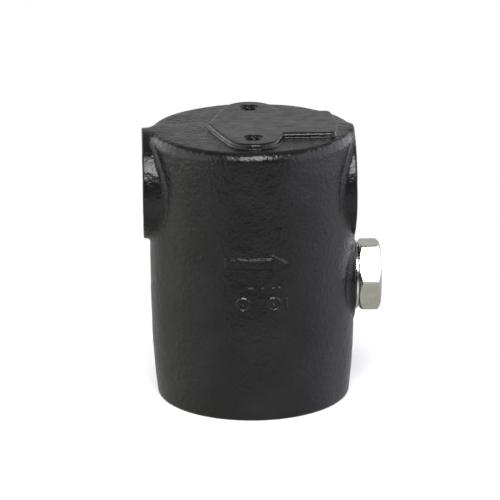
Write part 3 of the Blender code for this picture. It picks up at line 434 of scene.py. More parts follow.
class Finish:
    """A material built from nodes. Patterns use the object's own coordinates, in millimetres."""

    def __init__(self, name, colour, roughness, metallic=0.0, ior=1.5):
        self.material = bpy.data.materials.new(name)
        self.material.use_nodes = True
        self.tree = self.material.node_tree
        self.shader = self.tree.nodes["Principled BSDF"]
        self.shader.inputs["Base Color"].default_value = (*colour, 1)
        self.shader.inputs["Roughness"].default_value = roughness
        self.shader.inputs["Metallic"].default_value = metallic
        self.shader.inputs["IOR"].default_value = ior
        place = self.add("ShaderNodeTexCoord").outputs["Object"]
        scaled = self.add("ShaderNodeVectorMath", operation="SCALE")
        self.tree.links.new(place, scaled.inputs[0])
        scaled.inputs["Scale"].default_value = 1 / MM
        self.place = scaled.outputs["Vector"]
        self.bumped = None

    def add(self, kind, **settings):
        node = self.tree.nodes.new(kind)
        for key, value in settings.items():
            setattr(node, key, value)
        return node

    def set(self, socket, value):
        if isinstance(value, bpy.types.NodeSocket):
            self.tree.links.new(value, socket)
        else:
            socket.default_value = value

    def noise(self, size, detail=2.0, rough=0.5, place=None):
        """Cloudy noise with features of this size in millimetres."""
        node = self.add("ShaderNodeTexNoise")
        self.set(node.inputs["Vector"], place or self.place)
        node.inputs["Scale"].default_value = 1 / size
        node.inputs["Detail"].default_value = detail
        node.inputs["Roughness"].default_value = rough
        return node.outputs["Fac"]

    def cells(self, size, feature="SMOOTH_F1", place=None):
        """A cell pattern with cells of this size in millimetres."""
        node = self.add("ShaderNodeTexVoronoi", feature=feature)
        self.set(node.inputs["Vector"], place or self.place)
        node.inputs["Scale"].default_value = 1 / size
        return node.outputs["Distance"]

    def spread(self, value, low, high, out_low, out_high):
        """A value's range from low to high, smoothly turned into another range."""
        node = self.add("ShaderNodeMapRange", interpolation_type="SMOOTHSTEP")
        for socket, v in zip(node.inputs, (value, low, high, out_low, out_high)):
            self.set(socket, v)
        return node.outputs["Result"]

    def product(self, a, b):
        node = self.add("ShaderNodeMath", operation="MULTIPLY")
        self.set(node.inputs[0], a)
        self.set(node.inputs[1], b)
        return node.outputs["Value"]

    def blend(self, share, a, b):
        """A colour between two colours."""
        node = self.add("ShaderNodeMix", data_type="RGBA")
        self.set(node.inputs["Factor"], share)
        for socket, colour in ((node.inputs[6], a), (node.inputs[7], b)):
            self.set(socket, colour if isinstance(colour, bpy.types.NodeSocket) else (*colour, 1))
        return node.outputs[2]

    def squeeze(self, factors, centre=(0, 0, 0)):
        """The place, moved and stretched, for patterns that run one way."""
        moved = self.add("ShaderNodeVectorMath", operation="SUBTRACT")
        self.set(moved.inputs[0], self.place)
        moved.inputs[1].default_value = centre
        node = self.add("ShaderNodeVectorMath", operation="MULTIPLY")
        self.set(node.inputs[0], moved.outputs["Vector"])
        node.inputs[1].default_value = factors
        return node.outputs["Vector"]

    def along(self, axis):
        """The place's distance along X, Y or Z."""
        node = self.add("ShaderNodeSeparateXYZ")
        self.set(node.inputs[0], self.place)
        return node.outputs[axis]

    def length(self, vector):
        node = self.add("ShaderNodeVectorMath", operation="LENGTH")
        self.set(node.inputs[0], vector)
        return node.outputs["Value"]

    def place_from(self, value):
        """A place that changes only with one value."""
        node = self.add("ShaderNodeCombineXYZ")
        self.set(node.inputs[0], value)
        return node.outputs["Vector"]

    def bump(self, height, distance):
        """Adds relief of this height in millimetres on top of what is there."""
        node = self.add("ShaderNodeBump")
        node.inputs["Distance"].default_value = distance * MM
        self.set(node.inputs["Height"], height)
        if self.bumped:
            self.set(node.inputs["Normal"], self.bumped)
        self.bumped = node.outputs["Normal"]
        self.set(self.shader.inputs["Normal"], self.bumped)

    def drive(self, name, value):
        """Feeds one of the shader's inputs."""
        self.set(self.shader.inputs[name], value)


def painted_iron(name="painted_iron", rough_low=0.18, rough_high=0.3):
    """Glossy black stoving paint over a sand casting. It is smoother on the machined pad and port faces."""
    f = Finish(name, colour=(0.005, 0.005, 0.005), roughness=0.24, ior=1.36)
    patches = f.spread(f.noise(size=26, detail=3), 0.35, 0.68, 0, 1)
    f.drive("Base Color", f.blend(patches, (0.0035, 0.0035, 0.0036), (0.0065, 0.0064, 0.0067)))
    f.drive("Roughness", f.spread(f.noise(size=5.5, detail=4, rough=0.6), 0.3, 0.72, rough_low, rough_high))
    pad_grain, face_grain = 0.12, 0.3
    on_pad = f.spread(f.along("Z"), PAD_TOP - 0.5, PAD_TOP - 0.2, 1, pad_grain)
    at_outlet = f.spread(f.along("X"), OUTLET_FACE - 0.3, OUTLET_FACE - 0.15, 1, face_grain)
    at_inlet = f.spread(f.along("X"), INLET_FACE + 0.15, INLET_FACE + 0.3, face_grain, 1)
    cast = f.product(on_pad, f.product(at_outlet, at_inlet))
    f.bump(f.product(f.noise(size=3.2, detail=3, rough=0.55), cast), distance=0.26)
    f.bump(f.product(f.cells(size=1.7), cast), distance=0.19)
    f.bump(f.product(f.noise(size=0.8, detail=2, rough=0.6), cast), distance=0.05)
    return f.material


def metal(name, colour, dark, low, high, grain=(1, 1, 1), size=1.2, relief=0.01, axis=None):
    """Bare or plated metal, whose roughness wanders between low and high. With an axis point and factors
    it has fine turned rings round that axis."""
    f = Finish(name, colour, (low + high) / 2, 1.0)
    patches = f.spread(f.noise(size=7, detail=3), 0.35, 0.7, 0, 1)
    f.drive("Base Color", f.blend(patches, colour, dark))
    f.drive("Roughness", f.spread(f.noise(size=3, detail=4, rough=0.65), 0.3, 0.7, low, high))
    f.bump(f.noise(size, detail=3, rough=0.6, place=f.squeeze(grain)), relief)
    if axis:
        centre, factors = axis
        from_axis = f.place_from(f.length(f.squeeze(factors, centre)))
        f.bump(f.noise(size=0.16, detail=1, rough=0.5, place=from_axis), relief)
    return f.material


def graphite():
    """Flaked gasket sheet."""
    f = Finish("graphite", colour=(0.055, 0.055, 0.06), roughness=0.6)
    flakes = f.cells(size=0.5, feature="F1", place=f.squeeze((1, 1, 3)))
    share = f.spread(flakes, 0.1, 0.7, 0, 1)
    f.drive("Base Color", f.blend(share, (0.04, 0.04, 0.043), (0.09, 0.09, 0.095)))
    f.drive("Roughness", f.spread(f.noise(size=2), 0.3, 0.7, 0.5, 0.75))
    f.bump(flakes, distance=0.04)
    return f.material


IRON = painted_iron()
COVER_IRON = painted_iron("painted_iron_cover", rough_low=0.3, rough_high=0.45)
PLATE = metal(
    "bright_plate",
    colour=(0.6, 0.6, 0.56),
    dark=(0.53, 0.53, 0.49),
    low=0.13,
    high=0.24,
    relief=0.006,
    axis=(PLUG_AXIS, (0, 1, 1)),
)
STAINLESS = metal(
    "stainless",
    colour=(0.60, 0.59, 0.565),
    dark=(0.5, 0.49, 0.465),
    low=0.2,
    high=0.36,
    relief=0.006,
)
PRESSED = metal(
    "pressed_stainless",
    colour=(0.63, 0.62, 0.6),
    dark=(0.54, 0.53, 0.51),
    low=0.16,
    high=0.3,
    grain=(1, 1, 0.25),
    size=0.9,
    relief=0.008,
)
BLACK_STEEL = metal(
    "black_steel", colour=(0.035, 0.035, 0.038), dark=(0.02, 0.02, 0.021), low=0.34, high=0.5
)
COPPER = metal(
    "copper", colour=(0.72, 0.36, 0.2), dark=(0.5, 0.23, 0.13), low=0.28, high=0.45, relief=0.008
)
GRAPHITE = graphite()


def piece(shape, node, body=HOUSING):
    """Puts a finished piece on its body, in place of its CAD node."""
    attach(shape, body)
    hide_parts(node)


# ---------------------------------------------------------------- the casting


def uneven(points, normals):
    """The slight waviness of a sand casting, down to its foot, which is flat."""
    rng = np.random.default_rng(WAVE_SEED)
    height = np.zeros(len(points))
    for size, amount in WAVES:
        for _ in range(WAVES_OF_A_SIZE):
            way = rng.normal(size=3)
            way *= math.tau / size / np.linalg.norm(way)
            height += amount / 3 * np.sin(points @ way + rng.uniform(0, math.tau))
    height *= np.clip(points[:, 2] / FLAT_FOOT, 0, 1)
    return points + normals * height[:, None]


def casting_outside():
    """The outside as a mesh of even squares, finer near its narrow features."""
    points, quads = net(casting_distance, NET_LOW, NET_HIGH, NET_STEP)
    points = settle(casting_distance, points)
    sides = np.concatenate([quads[:, [i, (i + 1) % 4]] for i in range(4)])
    edges = np.unique(np.sort(sides, 1), axis=0)
    for _ in range(2):
        points = settle(casting_distance, relax(points, edges), 2)
    shape = add_mesh("trap_body", points, quads, IRON)
    for width in (NARROW, NARROWEST):
        divide(shape, width)
    return shape


def feature_distance(p):
    """How far a point is from the nearest narrow edge or raised mark."""
    x, y, z = p[:, 0], p[:, 1], p[:, 2]
    far = np.full(len(p), FAR)
    front = on_front(x, y, z)
    arrow = np.abs(outline_distance(x[front], z[front] - ARROW_HEIGHT, ARROW))
    in_marks = np.maximum(
        np.abs(x[front] - MARKS_MIDDLE[0]) - MARKS_HALF_SIZE[0],
        np.abs(z[front] - MARKS_MIDDLE[1]) - MARKS_HALF_SIZE[1],
    )
    far[front] = np.minimum(arrow, np.maximum(in_marks, 0))
    top = z > BODY_TOP - TOP_FEATURES
    far[top] = np.minimum(far[top], np.abs(top_outline(x[top], y[top])))
    face = np.minimum(np.abs(x - INLET_FACE), np.abs(x - OUTLET_FACE))
    rim = np.minimum(
        np.abs(np.hypot(y, z - PORT_HEIGHT) - PORT_RADIUS),
        np.where(x > 0, np.abs(np.hypot(y, z - PLUG_HEIGHT) - PLUG_BOSS_RADIUS), FAR),
    )
    far = np.minimum(far, np.maximum(face, rim))
    wall = np.abs(np.hypot(x, y) - BODY_RADIUS)
    return np.minimum(far, np.maximum(wall, rim) - VALLEY_WIDTH)


def divide(shape, width):
    """Splits the faces near narrow features, and settles the new points on the surface."""
    work = bmesh.new()
    work.from_mesh(shape.data)
    middles = np.array([f.calc_center_median() for f in work.faces]) / MM
    near = feature_distance(middles) < width
    edges = {e for f, chosen in zip(work.faces, near) if chosen for e in f.edges}
    bmesh.ops.subdivide_edges(work, edges=list(edges), cuts=1, use_grid_fill=True)
    points = settle(casting_distance, np.array([v.co for v in work.verts]) / MM, 3)
    for vertex, place in zip(work.verts, points):
        vertex.co = place * MM
    work.to_mesh(shape.data)
    work.free()


def casting_inside():
    """Everything that is hollow in the casting, as one closed shape."""
    corner_x, corner_z = CHAMBER_RADIUS - ROOF_CORNER, CHAMBER_ROOF - ROOF_CORNER
    roof = [
        (corner_x + ROOF_CORNER * math.cos(a), corner_z + ROOF_CORNER * math.sin(a))
        for a in np.radians(np.linspace(90, 0, 7))
    ]
    ledge = [(CHAMBER_RADIUS, LEDGE_HIGH), (LEDGE_RADIUS, LEDGE_HIGH), (LEDGE_RADIUS, LEDGE_LOW)]
    recess = [(COVER_RECESS, LEDGE_LOW), (COVER_RECESS, BELOW), (0, BELOW)]
    hollow = turned("hollow", [(0, CHAMBER_ROOF), *roof, *ledge, *recess], steps=112, edge=0)
    inner = [box("riser", (25, -RISER_HALF_WIDTH, 41), (44.5, RISER_HALF_WIDTH, 127))]
    inner.append(prism("sleeve", 17, 0, 8.5, 72, (-44.5, 0, PORT_HEIGHT), X_WAY))
    inner += [prism(f"roof_boss_{y}", 9.5, 117.5, 127, 48, (0, y, 0)) for y in (-PAD_HOLE, PAD_HOLE)]
    combine(hollow, inner)
    inlet, outlet = (INLET_FACE, 0, PORT_HEIGHT), (OUTLET_FACE, 0, PORT_HEIGHT)
    plug_bore = [(0, -BELOW), (13.8, -BELOW), (13.8, 0), (PLUG_BORE, -1.4)]
    plug_bore += [(PLUG_BORE, -PLUG_BORE_DEPTH), (0, -PLUG_BORE_DEPTH)]
    more = [
        box("riser_void", (31, -13.4, 45), (41, 13.4, 120)),
        threaded_bore("inlet_thread", PIPE_THREAD, INLET_THREAD_LENGTH, inlet, BACK_WAY),
        threaded_bore("outlet_thread", PIPE_THREAD, OUTLET_THREAD_LENGTH, outlet, X_WAY),
        turned("plug_bore", plug_bore, at=(OUTLET_FACE, 0, PLUG_HEIGHT), along=X_WAY, edge=0),
    ]
    for y in (-PAD_HOLE, PAD_HOLE):
        place = (0, y, PAD_TOP)
        more.append(threaded_bore(f"pad_thread_{y}", PAD_THREAD, PAD_THREAD_LENGTH, place, Z_WAY, 48))
    more.append(prism("seat_hole", SEAT_HOLE, *RISER_WALL, 60, PLUG_AXIS, X_WAY))
    more.append(prism("vent_hole", VENT_HOLE, *RISER_WALL, 48, PORT_AXIS, X_WAY))
    for y in BRACKET_SCREWS:
        place = (0, y, BRACKET_SCREW_HEIGHT)
        more.append(prism(f"bracket_hole_{y}", M4_HOLE, RISER_WALL[0], 29.5, 32, place, X_WAY))
    for y in BAFFLE_SCREWS:
        more.append(prism(f"baffle_hole_{y}", M4_HOLE, 124, 131.3, 32, (BAFFLE_SCREW_X, y, 0)))
    for x, y in COVER_SCREWS:
        more.append(prism(f"screw_hole_{x:.0f}_{y:.0f}", M5_HOLE, 12, 19.3, 40, (x, y, 0)))
    return combine(hollow, more, "UNION")


def casting():
    """The body: its uneven outside, with its hollows cut out."""
    shape = casting_outside()
    mesh = shape.data
    points = np.array([v.co for v in mesh.vertices]) / MM
    normals = np.array([v.normal for v in mesh.vertices])
    points = uneven(points, normals)
    mesh.vertices.foreach_set("co", (points * MM).astype(np.float32).ravel())
    mesh.update()
    combine(shape, [casting_inside()])
    shade(shape, 38)
    piece(shape, "body")


# ---------------------------------------------------------------- the access plug


def hexagon_radius(turn, corner_round=0.15, blend=0.12):
    """The hexagon's radius by angle, with its corners slightly rounded."""
    a = (turn + math.pi / 6) % (math.pi / 3) - math.pi / 6
    sharp = HEX_APOTHEM / np.cos(a)
    limit = HEX_APOTHEM / math.cos(math.pi / 6) - corner_round
    return -blend * np.log(np.exp(-sharp / blend) + np.exp(-limit / blend))


def access_plug():
    """The plug as one stack of rings: the dished end, the chamfered hexagon, the neck and the thread."""
    turn = angles_round(240)
    neck, groove, thread_root, thread_depth, hollow = 12.1, 11.3, 11.2, 0.9, 8
    facet_step = 0.12
    flats = hexagon_radius(turn + HEX_TURN)
    slope = (HEX_APOTHEM / math.cos(math.pi / 6) + 1 - HEX_FACE) / HEX_CHAMFER

    def hexagon_row(x):
        from_face = min(HEX_END - x, x - HEX_START)
        return np.minimum(flats, HEX_FACE + slope * from_face) - (0 if from_face else facet_step), x

    dish = ((0.0, -0.35), (2.2, -0.35), (2.7, -0.25), (3.0, 0))
    ring = ((7.5, 0), (7.65, -0.05), (7.8, 0), (13, 0), (HEX_FACE - 0.35, 0))
    rows = [(radius, HEX_END + sink) for radius, sink in (*dish, *ring)]
    heights = HEX_CHAMFER * (np.arange(13) / 12)
    outer = sorted({*(HEX_END - heights), *(HEX_START + heights)}, reverse=True)
    rows += [hexagon_row(x) for x in outer]
    rows += [(neck, HEX_START), (neck, 50.6), (groove, 50.3), (groove, 49.2)]
    for x in np.arange(SPIGOT_END, SPIGOT_START + 1, -PIPE_PITCH / STEPS_PER_TURN):
        tooth = thread_tooth(((OUTLET_FACE - x) / PIPE_PITCH - turn / math.tau) % 1)
        rows.append((thread_root + thread_depth * tooth * min(1, (x - SPIGOT_START) / 2), x))
    rows += [(10.9, SPIGOT_START + 0.4), (10.5, SPIGOT_START), (8.3, SPIGOT_START)]
    rows += [(hollow, SPIGOT_START + 0.3), (hollow, 46.4), (7, 46.8), (0, 46.8)]
    points, faces = turned_mesh(rows, turn)
    shape = add_mesh("trap_access_plug", points[:, [2, 0, 1]] + PLUG_AXIS, faces, PLATE)
    outwards(shape)
    shade(shape, 14)
    piece(shape, "access_plug")


def access_plug_washer():
    """The bright ring that seals the plug."""
    outer, inner, thick = WASHER_RADIUS, WASHER_BORE, WASHER_END - WASHER_START
    profile = [(outer, thick), (outer, 0), (inner, 0), (inner, thick)]
    place = (WASHER_START, 0, PLUG_HEIGHT)
    shape = turned("trap_plug_washer", profile, PLATE, place, X_WAY, 144, 0.4)
    piece(shape, "access_plug_washer")


# ---------------------------------------------------------------- the bottom cover


def bottom_cover():
    """The let-in cover, with its screw holes and the drain's hole."""
    profile = [(0, 8), (28, 8), (30, 12), (43, 12), (43, 1), (42, 0), (24, 0), (22, 0.8), (0, 0.8)]
    cover = turned("trap_bottom_cover", profile, COVER_IRON, steps=128, edge=0.5)
    shaft = [(0, 14), (2.8, 14), (2.8, 5.8), (4.55, 5.8), (4.55, 0.35), (5.1, -0.3), (5.1, -2), (0, -2)]
    holes = [
        turned(f"cover_hole_{i}", shaft, at=(x, y, 0), steps=48, edge=0)
        for i, (x, y) in enumerate(COVER_SCREWS)
    ]
    drain = [(0, 14), (6.8, 14), (6.8, 1.6), (7.6, 0.8), (7.6, -2), (0, -2)]
    holes.append(turned("drain_hole", drain, at=DRAIN, steps=60, edge=0))
    combine(cover, holes)
    shade(cover, 30)
    piece(cover, "bottom_cover")


def cover_gasket():
    """The flat ring between the cover and the casting's ledge."""
    profile = [(42.7, 13.5), (42.7, 12.3), (33.3, 12.3), (33.3, 13.5)]
    gasket = turned("trap_cover_gasket", profile, GRAPHITE, steps=112, edge=0.15)
    holes = [
        prism(f"gasket_hole_{i}", 3.1, 11, 15, 36, (x, y, 0)) for i, (x, y) in enumerate(COVER_SCREWS)
    ]
    combine(gasket, holes)
    shade(gasket)
    piece(gasket, "cover_gasket")


def cap_screw(node, at, along, size, reach):
    """A socket cap screw with a knurled head and a thread. Its place is where the head meets the shank."""
    radius, head_radius, head, socket, socket_depth = size
    turn = angles_round(64)
    knurl = 0.07 * np.cos(32 * turn)
    rows = [(0.0, -head), (socket + 0.6, -head)]
    rows += [(head_radius - 0.45, -head), (head_radius - 0.12, -head + 0.12)]
    rows += [(head_radius - 0.07 + knurl, z) for z in (-head + 0.4, -head * 0.3, -0.35)]
    rows += [(head_radius - 0.3, 0), (radius + 0.2, 0), (radius, 0.2)]
    pitch = 0.32 * radius
    for z in np.arange(0.5, reach - 0.4, pitch / 4):
        phase = (z / pitch - turn / math.tau) % 1
        rows.append((radius - 0.25 * radius * np.abs(2 * phase - 1) * min(1, z - 0.3), z))
    rows += [(radius * 0.7, reach), (0.0, reach)]
    points, faces = turned_mesh(rows, turn)
    shape = add_mesh("trap_" + node, placed(points, at, along), faces, BLACK_STEEL)
    outwards(shape)
    combine(shape, [prism(node + "_key", socket, -head - 1, socket_depth - head, 6, at, along)])
    shade(shape, 35)
    piece(shape, node)


def cover_fasteners():
    """The six cover screws and the drain plug."""
    for i, (x, y) in enumerate(COVER_SCREWS):
        cap_screw(f"cover_screw_{i + 1}", (x, y, 5.5), Z_WAY, M5_SCREW, 13.5)
    profile = [(0, 7.5), (5.9, 7.5), (6.5, 6.9), (6.5, 1.0), (6.0, 0.5), (0, 0.5)]
    plug = turned("trap_drain_plug", profile, BLACK_STEEL, DRAIN, steps=72, edge=0.15)
    combine(plug, [prism("drain_key", 3.5, -1.5, 5, 6, DRAIN)])
    shade(plug)
    piece(plug, "drain_plug")


# ---------------------------------------------------------------- the insides


def turned_insides():
    """Every turned piece of the valve, lever, float and vent, with its edges rounded."""
    to_float = np.array((-math.cos(FLOAT_DROP), 0, -math.sin(FLOAT_DROP)))
    ear = 9.3
    rows = [
        ("valve_seat", STAINLESS, "stainless", HOUSING, PLUG_AXIS, X_WAY,
         [(5, 36.4), (11, 36.4), (11, 32.4), (8.5, 32.4), (8.5, 23), (7.5, 22), (2.5, 22), (2.5, 26),
          (5, 27)]),
        ("valve_seat_gasket", COPPER, "copper", HOUSING, PLUG_AXIS, X_WAY,
         [(11, 32.1), (11, 31.3), (8.8, 31.3), (8.8, 32.1)]),
        ("valve_head", STAINLESS, "stainless", FLOAT_ARM, PLUG_AXIS, X_WAY,
         [(0, 22.8), (1.2, 22.8), (4.5, 19.5), (4.5, 16.3), (1.5, 16.3), (1.5, 13.2), (0, 13.2)]),
        ("pivot_pin", STAINLESS, "stainless", HOUSING, PIVOT, Y_WAY,
         [(0, ear + 2), (2, ear + 2), (2, -ear), (3.4, -ear), (3.4, -ear - 1.4), (0, -ear - 1.4)]),
        ("pin_clip", STAINLESS, "stainless", HOUSING, PIVOT, Y_WAY,
         [(3.4, ear + 1.1), (3.4, ear), (2.3, ear), (2.3, ear + 1.1)]),
        ("pivot_washer_1", STAINLESS, "stainless", HOUSING, PIVOT, Y_WAY,
         [(4.2, 6.6), (4.2, 5.5), (2.3, 5.5), (2.3, 6.6)]),
        ("pivot_washer_2", STAINLESS, "stainless", HOUSING, PIVOT, Y_WAY,
         [(4.2, -5.5), (4.2, -6.6), (2.3, -6.6), (2.3, -5.5)]),
        ("float_stud", STAINLESS, "stainless", FLOAT_ARM, PIVOT, to_float,
         [(0, 13.3), (3.4, 13.3), (3.4, 12.8), (2.4, 12.8), (2.4, 5.4), (0, 5.4)]),
        ("vent_seat", STAINLESS, "stainless", HOUSING, PORT_AXIS, X_WAY,
         [(5, 31), (5, 24.7), (7.5, 24.7), (7.5, 21.5), (1.5, 21.5), (1.5, 31)]),
        ("vent_valve", STAINLESS, "stainless", VENT, PORT_AXIS, X_WAY,
         [(0, 20.4), (2.6, 20.4), (2.6, 19), (1.1, 19), (1.1, 15.6), (0, 15.6)]),
    ]
    for node, material, slot, body, at, along, profile in rows:
        edge = 0.1 if node in ("pin_clip", "valve_seat_gasket") else 0.25
        piece(turned("trap_" + node, profile, material, at, along, 80, edge), node, body)
    float_shells(np.array(PIVOT) + to_float * FLOAT_REACH, to_float)
    capsule()


def float_shells(centre, to_float):
    """Two pressed half balls, each with its lip turned in a little at the seam."""
    outer, inner, seam, lip = 23.4, 22.8, 0.15, 0.06
    angles = np.radians(np.linspace(90, 0.4, 26))
    for node, way in (("float_near_shell", -to_float), ("float_far_shell", to_float)):
        profile = [(0, outer)]
        for a in angles[1:]:
            turned_in = lip * (a < math.radians(5))
            profile.append((outer * math.cos(a) - turned_in, max(outer * math.sin(a), seam)))
        profile.append((inner, seam))
        for a in angles[::-1][1:-1]:
            profile.append((inner * math.cos(a), max(inner * math.sin(a), seam + 0.05)))
        profile.append((0, inner))
        shape = turned("trap_" + node, profile, PRESSED, centre, way, 128, 0)
        piece(shape, node, FLOAT_ARM)


def capsule():
    """The vent's capsule, with shallow ripples pressed into each half."""
    rings = [8.0, 7.2, 6.4, 5.6, 4.8, 4.0, 3.2, 2.4]
    sink = 0.25

    def ripple(r):
        return sink * math.sin((r - 2.4) / 5.6 * math.tau * 1.5)

    top, bottom = 18.4, 17.9
    front = [(1.4, top)] + [(r, top + ripple(r) - sink) for r in rings[::-1]]
    front += [(9, 17.4), (9, 15.95), (10, 15.95), (10, 15.45), (8.5, 15.45), (8.5, 17.4)]
    front += [(r - 0.2, bottom + ripple(r) - sink) for r in rings] + [(1.4, bottom)]
    top, bottom = 2.95, 2.45
    back = [(0, top)] + [(r, top + ripple(r) - sink) for r in rings[::-1]]
    back += [(9, 1.95), (9, 0.5), (10, 0.5), (10, 0), (8.5, 0), (8.5, 1.95)]
    back += [(r - 0.2, bottom + ripple(r) - sink) for r in rings] + [(0, bottom)]
    halves = (
        ("vent_capsule_front", front, PORT_AXIS, X_WAY),
        ("vent_capsule_back", back, (15.15, 0, PORT_HEIGHT), BACK_WAY),
    )
    for node, profile, at, along in halves:
        piece(turned("trap_" + node, profile, PRESSED, at, along, 96, 0.12), node)


def bevelled(node, material, body=HOUSING, width=0.2):
    """A CAD node's own shape, welded, with its sharp edges rounded."""
    shape = bpy.data.objects.new("trap_" + node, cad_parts[node].data.copy())
    bpy.context.scene.collection.objects.link(shape)
    work = bmesh.new()
    work.from_mesh(shape.data)
    bmesh.ops.remove_doubles(work, verts=work.verts, dist=0.002 * MM)
    bmesh.ops.dissolve_limit(work, angle_limit=math.radians(1), verts=work.verts, edges=work.edges)
    for f in work.faces:
        f.smooth = True
    work.to_mesh(shape.data)
    work.free()
    bevel = shape.modifiers.new("edges", "BEVEL")
    bevel.width = width * MM
    bevel.segments = 2
    bevel.limit_method = "ANGLE"
    bevel.angle_limit = math.radians(40)
    applied(shape)
    shape.data.materials.clear()
    shape.data.materials.append(material)
    shade(shape)
    piece(shape, node, body)


def flat_insides():
    """The flat and bent parts inside, and the screws that hold them."""
    bevelled("float_lever", STAINLESS, FLOAT_ARM)
    bevelled("float_lock_nut", STAINLESS, FLOAT_ARM)
    bevelled("lever_bracket", PRESSED, width=0.3)
    bevelled("inlet_baffle", PRESSED, width=0.3)
    bevelled("vent_cage", PRESSED, width=0.15)
    plate, tab = 22.4, 123.9
    for i, y in enumerate(BRACKET_SCREWS):
        place = (plate, y, BRACKET_SCREW_HEIGHT)
        cap_screw(f"bracket_screw_{i + 1}", place, X_WAY, M4_SCREW, 6.8)
    for i, y in enumerate(BAFFLE_SCREWS):
        cap_screw(f"baffle_screw_{i + 1}", (BAFFLE_SCREW_X, y, tab), Z_WAY, M4_SCREW, 7.1)


casting()
access_plug()
access_plug_washer()
bottom_cover()
cover_gasket()
cover_fasteners()
turned_insides()
flat_insides()


# ---------------------------------------------------------------- floor, light and camera

FLOOR_RADIUS, FLOOR_CENTRE, FLOOR_SIDES = 165, -75, 96
FLOOR_GREY, FLOOR_GLOW = 0.7, 0.25

# Brightness round the horizon by bands of height, in degrees from the camera's side towards the right
LOW_GLOW = (
    (-180, (0.45, 0.45, 0.45)),
    (-130, (0.5, 0.5, 0.48)),
    (-95, (1.2, 1.19, 1.13)),
    (-50, (1.1, 1.09, 1.05)),
    (0, (0.68, 0.68, 0.68)),
    (50, (1.15, 1.15, 1.2)),
    (95, (1.3, 1.3, 1.42)),
    (130, (0.55, 0.55, 0.6)),
    (180, (0.45, 0.45, 0.45)),
)
BELOW_GLOW = (
    (-180, (0.4, 0.4, 0.4)),
    (-95, (0.7, 0.69, 0.66)),
    (-50, (0.8, 0.79, 0.75)),
    (0, (1.0, 1.0, 0.98)),
    (50, (0.8, 0.8, 0.83)),
    (95, (0.75, 0.75, 0.8)),
    (180, (0.4, 0.4, 0.4)),
)
MIDDLE_GLOW = (
    (-180, (0.55, 0.55, 0.55)),
    (-100, (0.55, 0.55, 0.55)),
    (-50, (0.3, 0.3, 0.3)),
    (-20, (0.08, 0.08, 0.08)),
    (20, (0.08, 0.08, 0.08)),
    (50, (0.3, 0.3, 0.31)),
    (100, (0.55, 0.55, 0.58)),
    (180, (0.55, 0.55, 0.55)),
)
OVERHEAD = (0.22, 0.22, 0.22)
UNDERFOOT = (0.57, 0.57, 0.52)
SKY_BANDS = ((-0.9, -0.7), (-0.5, -0.29), (-0.2, -0.08), (0.32, 0.52))  # where one band meets the next
LENS, SENSOR = 205.17, 36
CAMERA_PLACE = (-48.09, -1336.55, 485.86)
CAMERA_RIGHT, CAMERA_UP = (0.9993, -0.0375, -0.0078), (0.0186, 0.2952, 0.9553)


def floor():
    """A pale disc under the object, which glossy surfaces don't mirror."""
    material = bpy.data.materials.new("pale_floor")
    material.use_nodes = True
    shader = material.node_tree.nodes["Principled BSDF"]
    shader.inputs["Base Color"].default_value = (FLOOR_GREY, FLOOR_GREY, FLOOR_GREY, 1)
    shader.inputs["Roughness"].default_value = 0.7
    shader.inputs["Emission Color"].default_value = (1, 1, 1, 1)
    shader.inputs["Emission Strength"].default_value = FLOOR_GLOW
    turns = [math.tau * i / FLOOR_SIDES for i in range(FLOOR_SIDES)]
    points = [(FLOOR_RADIUS * math.cos(t), FLOOR_CENTRE + FLOOR_RADIUS * math.sin(t), 0) for t in turns]
    disc = add_mesh("floor", points, [list(range(FLOOR_SIDES))], material)
    disc.visible_glossy = False


def area_light(name, place, target, size, power, colour=(1, 1, 1)):
    """A rectangular lamp turned to its target, in metres and watts."""
    data = bpy.data.lights.new(name, "AREA")
    data.shape = "RECTANGLE"
    data.size, data.size_y = size
    data.energy = power
    data.color = colour
    lamp = bpy.data.objects.new(name, data)
    bpy.context.scene.collection.objects.link(lamp)
    place, target = Vector(place), Vector(target)
    lamp.location = place
    lamp.rotation_mode = "QUATERNION"
    lamp.rotation_quaternion = (target - place).to_track_quat("-Z", "Y")


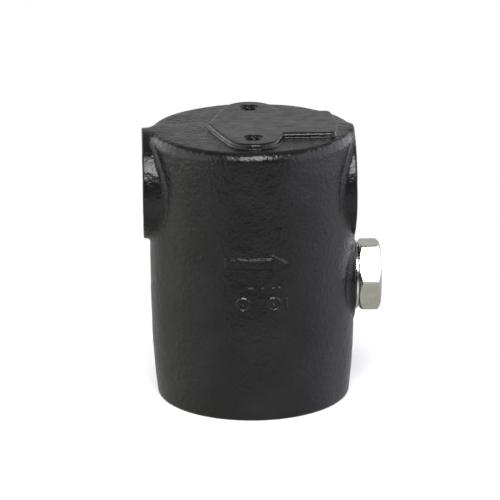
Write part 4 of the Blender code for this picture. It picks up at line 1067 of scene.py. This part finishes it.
def surroundings():
    """A white studio. In reflections it is bright at both sides, dark above and beside the camera, and
    greyer behind the object and overhead."""
    world = bpy.data.worlds.new("studio")
    bpy.context.scene.world = world
    world.use_nodes = True
    tree = world.node_tree

    def add(kind, inputs, output=0, **settings):
        node = tree.nodes.new(kind)
        for key, value in settings.items():
            setattr(node, key, value)
        for socket, value in inputs.items():
            if isinstance(value, bpy.types.NodeSocket):
                tree.links.new(value, node.inputs[socket])
            else:
                node.inputs[socket].default_value = value
        return node.outputs[output]

    def round_the_horizon(turn, stops):
        result = add("ShaderNodeValToRGB", {0: turn})
        stops = [(degrees / 360 + 0.5, colour) for degrees, colour in stops]
        ramp = result.node.color_ramp
        ramp.interpolation = "EASE"
        ramp.elements[0].position, ramp.elements[1].position = stops[0][0], stops[-1][0]
        for position, _ in stops[1:-1]:
            ramp.elements.new(position)
        for element, (_, colour) in zip(ramp.elements, stops):
            element.color = (*colour, 1)
        return result

    def mix(share, a, b):
        return add("ShaderNodeMix", {0: share, 6: a, 7: b}, 2, data_type="RGBA")

    def step(value, low, high):
        return add("ShaderNodeMapRange", {0: value, 1: low, 2: high}, interpolation_type="SMOOTHSTEP")

    way = tree.nodes.new("ShaderNodeSeparateXYZ")
    tree.links.new(add("ShaderNodeTexCoord", {}), way.inputs[0])
    x, y, z = way.outputs
    forward = add("ShaderNodeMath", {0: y, 1: -1.0}, operation="MULTIPLY")
    angle = add("ShaderNodeMath", {0: x, 1: forward}, operation="ARCTAN2")
    turn = add("ShaderNodeMapRange", {0: angle, 1: -math.pi, 2: math.pi})
    below, low, middle = (round_the_horizon(turn, g) for g in (BELOW_GLOW, LOW_GLOW, MIDDLE_GLOW))
    to_below, to_low, to_middle, to_overhead = SKY_BANDS
    colour = mix(step(z, *to_middle), low, middle)
    colour = mix(step(z, *to_low), below, colour)
    colour = mix(step(z, *to_below), (*UNDERFOOT, 1), colour)
    colour = mix(step(z, *to_overhead), colour, (*OVERHEAD, 1))
    seen = add("ShaderNodeLightPath", {})
    tree.links.new(mix(seen, colour, (1, 1, 1, 1)), tree.nodes["Background"].inputs["Color"])


def camera():
    """The photograph's camera: a long lens that looks down at the front."""
    data = bpy.data.cameras.new("camera")
    data.sensor_width = SENSOR
    data.lens = LENS
    data.clip_start, data.clip_end = 0.05, 50
    view = bpy.data.objects.new("camera", data)
    bpy.context.scene.collection.objects.link(view)
    right, up = Vector(CAMERA_RIGHT), Vector(CAMERA_UP)
    back = right.cross(up).normalized()
    up = back.cross(right).normalized()
    right.normalize()
    turn = Matrix((right, up, back)).transposed().to_quaternion()
    view.matrix_world = Matrix.LocRotScale(Vector(CAMERA_PLACE) * MM, turn, None)
    bpy.context.scene.camera = view


floor()
surroundings()
camera()
area_light("key_box", place=(0, -0.68, 0.83), target=(0, 0, 0.1), size=(0.55, 0.6), power=14.4)
for side, x, colour in (("left_box", -0.6, (1, 1, 1)), ("right_box", 0.6, (0.95, 0.94, 1.08))):
    area_light(side, (x, 0.13, 0.44), target=(0, 0.13, 0.44), size=(1.65, 0.8), power=7.6, colour=colour)
bpy.context.scene.view_settings.view_transform = "Standard"
